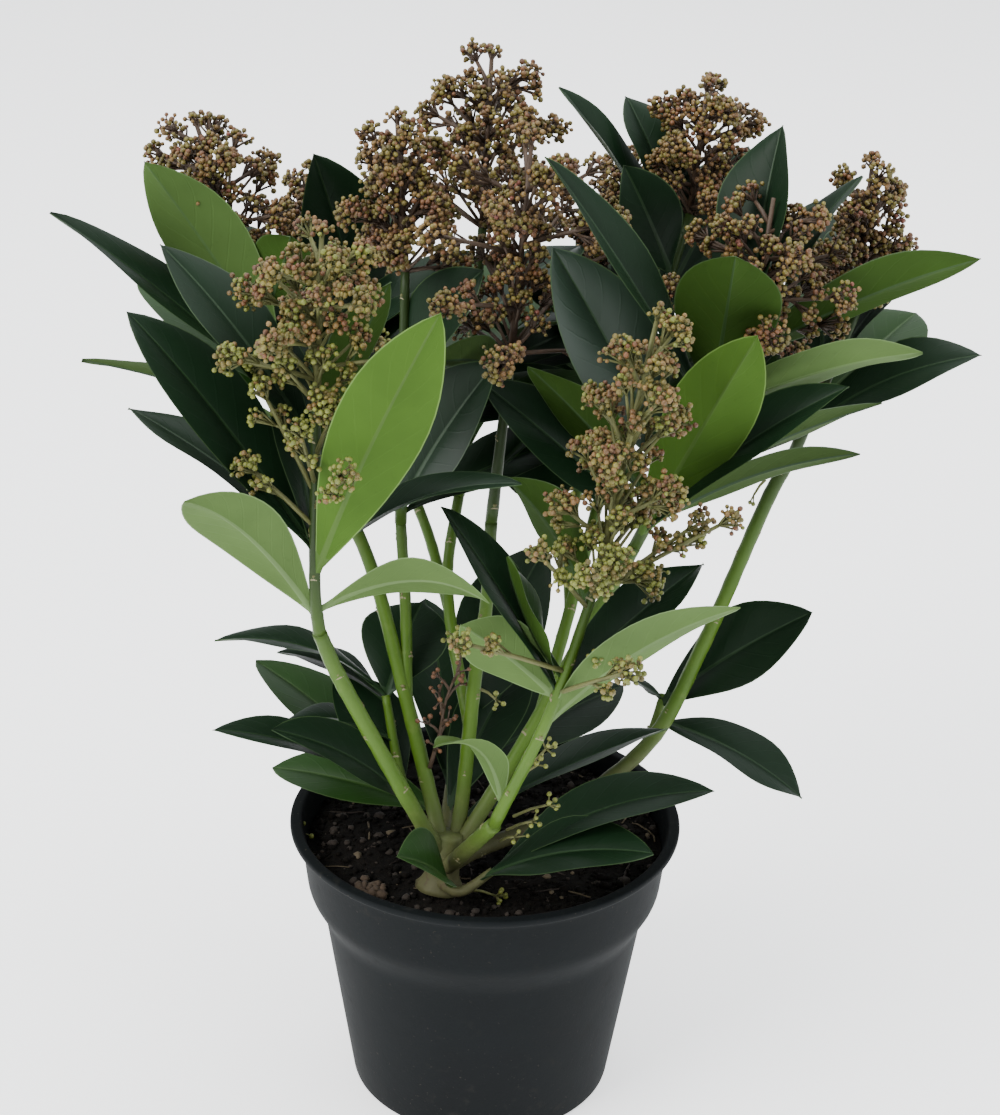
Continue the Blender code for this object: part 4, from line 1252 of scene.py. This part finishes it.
def bud_bunch(wood, fork, centre, size, shares, dice):
    """One bunch: stalks from a fork to knots of buds that fill a ball round its centre."""
    out = (centre - fork).normalized()
    count = max(2, round(KNOTS_A_BUNCH * (size / CLUSTER_RADIUS) ** 2) + dice.randint(-1, 1))
    for toward in fan_out(out, count, 1.15, dice.uniform(0, math.tau)):
        knot = centre + toward * (size - 1.8) * dice.uniform(0.5, 1.05)
        facing = (knot - fork).normalized()
        twig_shape(wood, fork, knot, *KNOT_STALK, 3, 0.1)
        main = pick(shares, dice)
        for way in fan_out(facing, dice.randint(2, 5), 1.0, dice.uniform(0, math.tau)):
            radius = BUD_RADIUS * dice.uniform(0.72, 1.18)
            place = knot + way * dice.uniform(1.2, 2.4)
            tint = main if dice.random() < 0.6 else pick(shares, dice)
            bud_heaps[tint].add(*bud_shape(place, way, radius, dice))
            wood.add(*tube([knot, place - way * radius * 0.7], BUD_STALK, 3))


UPPER_SHARES = [("tan", 0.30), ("olive", 0.28), ("fawn", 0.15), ("gold", 0.12),
                ("russet", 0.145), ("pink", 0.005)]
FRONT_SHARES = [("olive", 0.27), ("tan", 0.23), ("gold", 0.15), ("fawn", 0.11),
                ("russet", 0.12), ("lime", 0.12)]
LOW_SHARES = [("lime", 0.66), ("olive", 0.26), ("tan", 0.08)]
bud_heaps = {tint: Heap() for tint in ("olive", "tan", "gold", "fawn", "russet", "pink", "lime")}
twig_heaps = {"brown": Heap(), "olive": Heap()}
for name, mass in grown.items():
    shoot = SHOOTS[name]
    dice = random.Random(name + " buds")
    front = name in ("crown_front_left", "crown_front")
    wood = twig_heaps["olive" if front else "brown"]
    throat = mass["curve"][-1]
    if shoot.peak is not None:
        peak = Vector(shoot.peak)
        axis = peak - throat
        top = throat.lerp(peak, CONE_TOP)
        wood.add(*tube([throat, throat.lerp(top, 0.5), top], [1.35, 1.0, 0.7], 7))
        for k in range(INNER_BUNCHES if "core" in mass else 0):
            share = 0.06 + 0.70 * (k + dice.uniform(0.2, 0.8)) / INNER_BUNCHES
            out = direction(180 + k * GOLDEN_ANGLE, 25)
            reach = cone_reach(shoot, share) * mass["core"] * dice.uniform(0.22, 0.56)
            centre = throat + axis * share + out * reach
            root = throat + axis * max(0.0, share - TWIG_DROP)
            if not space.is_clear(bunch_shape(root, centre, BRANCHLET_RADIUS), (name + " stem",)):
                continue
            fork = centre - (centre - root).normalized() * BRANCHLET_RADIUS * 0.7
            twig_shape(wood, root, fork, 0.7, 0.55, 4)
            shares = LOW_SHARES if front and share < 0.25 else FRONT_SHARES if front else UPPER_SHARES
            bud_bunch(wood, fork, centre, BRANCHLET_RADIUS, shares, dice)
    for root, end, size in mass["twigs"]:
        out = (end - root).normalized()
        low = front and end.z < throat.z + 16
        shares = LOW_SHARES if low else FRONT_SHARES if front else UPPER_SHARES
        fork = end - out * size * 0.62
        twig_shape(wood, root, fork, 0.85, 0.62, 5, 0.3)
        bud_bunch(wood, fork, end, size, shares, dice)
        if (end - root).length > 14:
            for way in fan_out(out, 2, 0.5, dice.uniform(0, math.tau)):
                start = root.lerp(fork, dice.uniform(0.45, 0.75))
                centre = start + way * dice.uniform(6, 8)
                bud_bunch(wood, start + way * 2, centre, BRANCHLET_RADIUS * 0.8, shares, dice)
                twig_shape(wood, start, start + way * 2, 0.5, 0.42, 4)

# ---------------------------------------------------------------- Loose sprigs and crumbs
# Small green bud sprigs stand round the stem feet, one has dropped on the compost beside a
# clump of brown crumbs, and one dead flower twig stands among the stems.
SPRIGS = [((9, -46, 125), (22, -52, 134), 5), ((7, -46, 120), (17, -54, 129), 4),
          ((5, -46, 116), (11, -54, 123), 3), ((8, -50, 137), (20, -52, 155), 6),
          ((9, -51, 140), (18, -52, 149), 4), ((-5, -36, 91.4), (7, -41, 91.8), 6),
          ((-6, -16, 176), (-11, -34, 181), 6), ((-2, -28, 160), (4, -42, 163), 4),
          ((89, 30, 209), (84, 30, 201), 2), ((-63, -3, 91.5), (-59, -6, 93.5), 2)]
DEAD_TWIG = [(-18, -22, 128), (-15, -21, 140), (-13, -20, 152), (-8.5, -20, 165)]
CLUMP = (-36, -36)
CLUMP_COUNT = 46
sprig_dice = random.Random(83)


def small_sprig(root, end, count, tint, wood, dice):
    """A thin bent stalk with a few buds spread at its end."""
    root = Vector(root)
    end = Vector(end)
    out = (end - root).normalized()
    fork = end - out * 3
    twig_shape(wood, root, fork, 0.55, 0.4, 5, 0.6)
    for way in fan_out(out, count, 0.8, dice.uniform(0, math.tau)):
        place = fork + way * dice.uniform(2.4, 4.2)
        wood.add(*tube([fork, place], [0.32, 0.28], 4))
        bud_heaps[tint].add(*bud_shape(place, way, BUD_RADIUS * dice.uniform(0.8, 1.15), dice))


for root, end, count in SPRIGS:
    small_sprig(root, end, count, "lime", twig_heaps["olive"], sprig_dice)
dead = smooth_route(DEAD_TWIG, 4)
twig_heaps["brown"].add(*tube(dead, taper(0.75, 0.3, len(dead)), 5))
for k in range(2, len(dead) - 1):
    out = direction(k * GOLDEN_ANGLE, 48)
    end = dead[k] + out * sprig_dice.uniform(6, 11)
    small_sprig(dead[k], end, 3, "russet", twig_heaps["brown"], sprig_dice)
clump = Heap()
for k in range(CLUMP_COUNT):
    size = sprig_dice.uniform(0.8, 2.2)
    spot = Vector((sprig_dice.gauss(0, 2.6), sprig_dice.gauss(0, 2.0), 0))
    spot.x += CLUMP[0]
    spot.y += CLUMP[1]
    spot.z = soil_height(spot.x, spot.y) + sprig_dice.uniform(0.3, 2.6)
    points, faces = rough_lump(size, sprig_dice)
    clump.add([p + spot for p in points], faces)
humus = Finish("brown_crumbs")
clump.make("crumb_clump", [humus.wear(humus.mottle(1.4, 3, (0.020, 0.012, 0.007),
                                                   (0.078, 0.049, 0.028)), 0.9)], "potting_soil")
BUD_COLOURS = {
    "olive": ((0.060, 0.048, 0.006), (0.160, 0.122, 0.022), (0.036, 0.034, 0.006)),
    "tan": ((0.078, 0.044, 0.009), (0.195, 0.116, 0.030), (0.040, 0.026, 0.007)),
    "gold": ((0.072, 0.061, 0.007), (0.175, 0.144, 0.024), (0.042, 0.040, 0.006)),
    "fawn": ((0.068, 0.032, 0.008), (0.168, 0.085, 0.023), (0.036, 0.022, 0.007)),
    "russet": ((0.058, 0.021, 0.006), (0.140, 0.054, 0.015), (0.030, 0.015, 0.006)),
    "pink": ((0.120, 0.030, 0.018), (0.200, 0.066, 0.040), (0.050, 0.022, 0.010)),
    "lime": ((0.085, 0.098, 0.010), (0.170, 0.185, 0.028), (0.045, 0.062, 0.008)),
}
for tint, heap in bud_heaps.items():
    deep, light, calyx = BUD_COLOURS[tint]
    petal = Finish(tint + "_bud")
    speckle = petal.noise(0.9, 4)
    petal.wear(petal.mix(petal.step(petal.noise(4, 2) * 0.6 + speckle * 0.4, 0.34, 0.66),
                         deep, light), 0.5, petal.bump(speckle, 0.12))
    cup = Finish(tint + "_calyx")
    cup.wear(cup.mottle(1.5, 2, calyx, [c * 1.8 for c in calyx]), 0.6)
    heap.make(tint + "_buds", [petal.material, cup.material], "foliage")
for tint, (deep, light) in {"brown": ((0.026, 0.014, 0.008), (0.075, 0.042, 0.020)),
                            "olive": ((0.045, 0.052, 0.010), (0.125, 0.125, 0.032))}.items():
    skin = Finish(tint + "_twig")
    skin.wear(skin.mottle(3, 4, deep, light), 0.65, skin.bump(skin.noise(1, 3), 0.1))
    twig_heaps[tint].make(tint + "_twigs", [skin.material], "foliage")
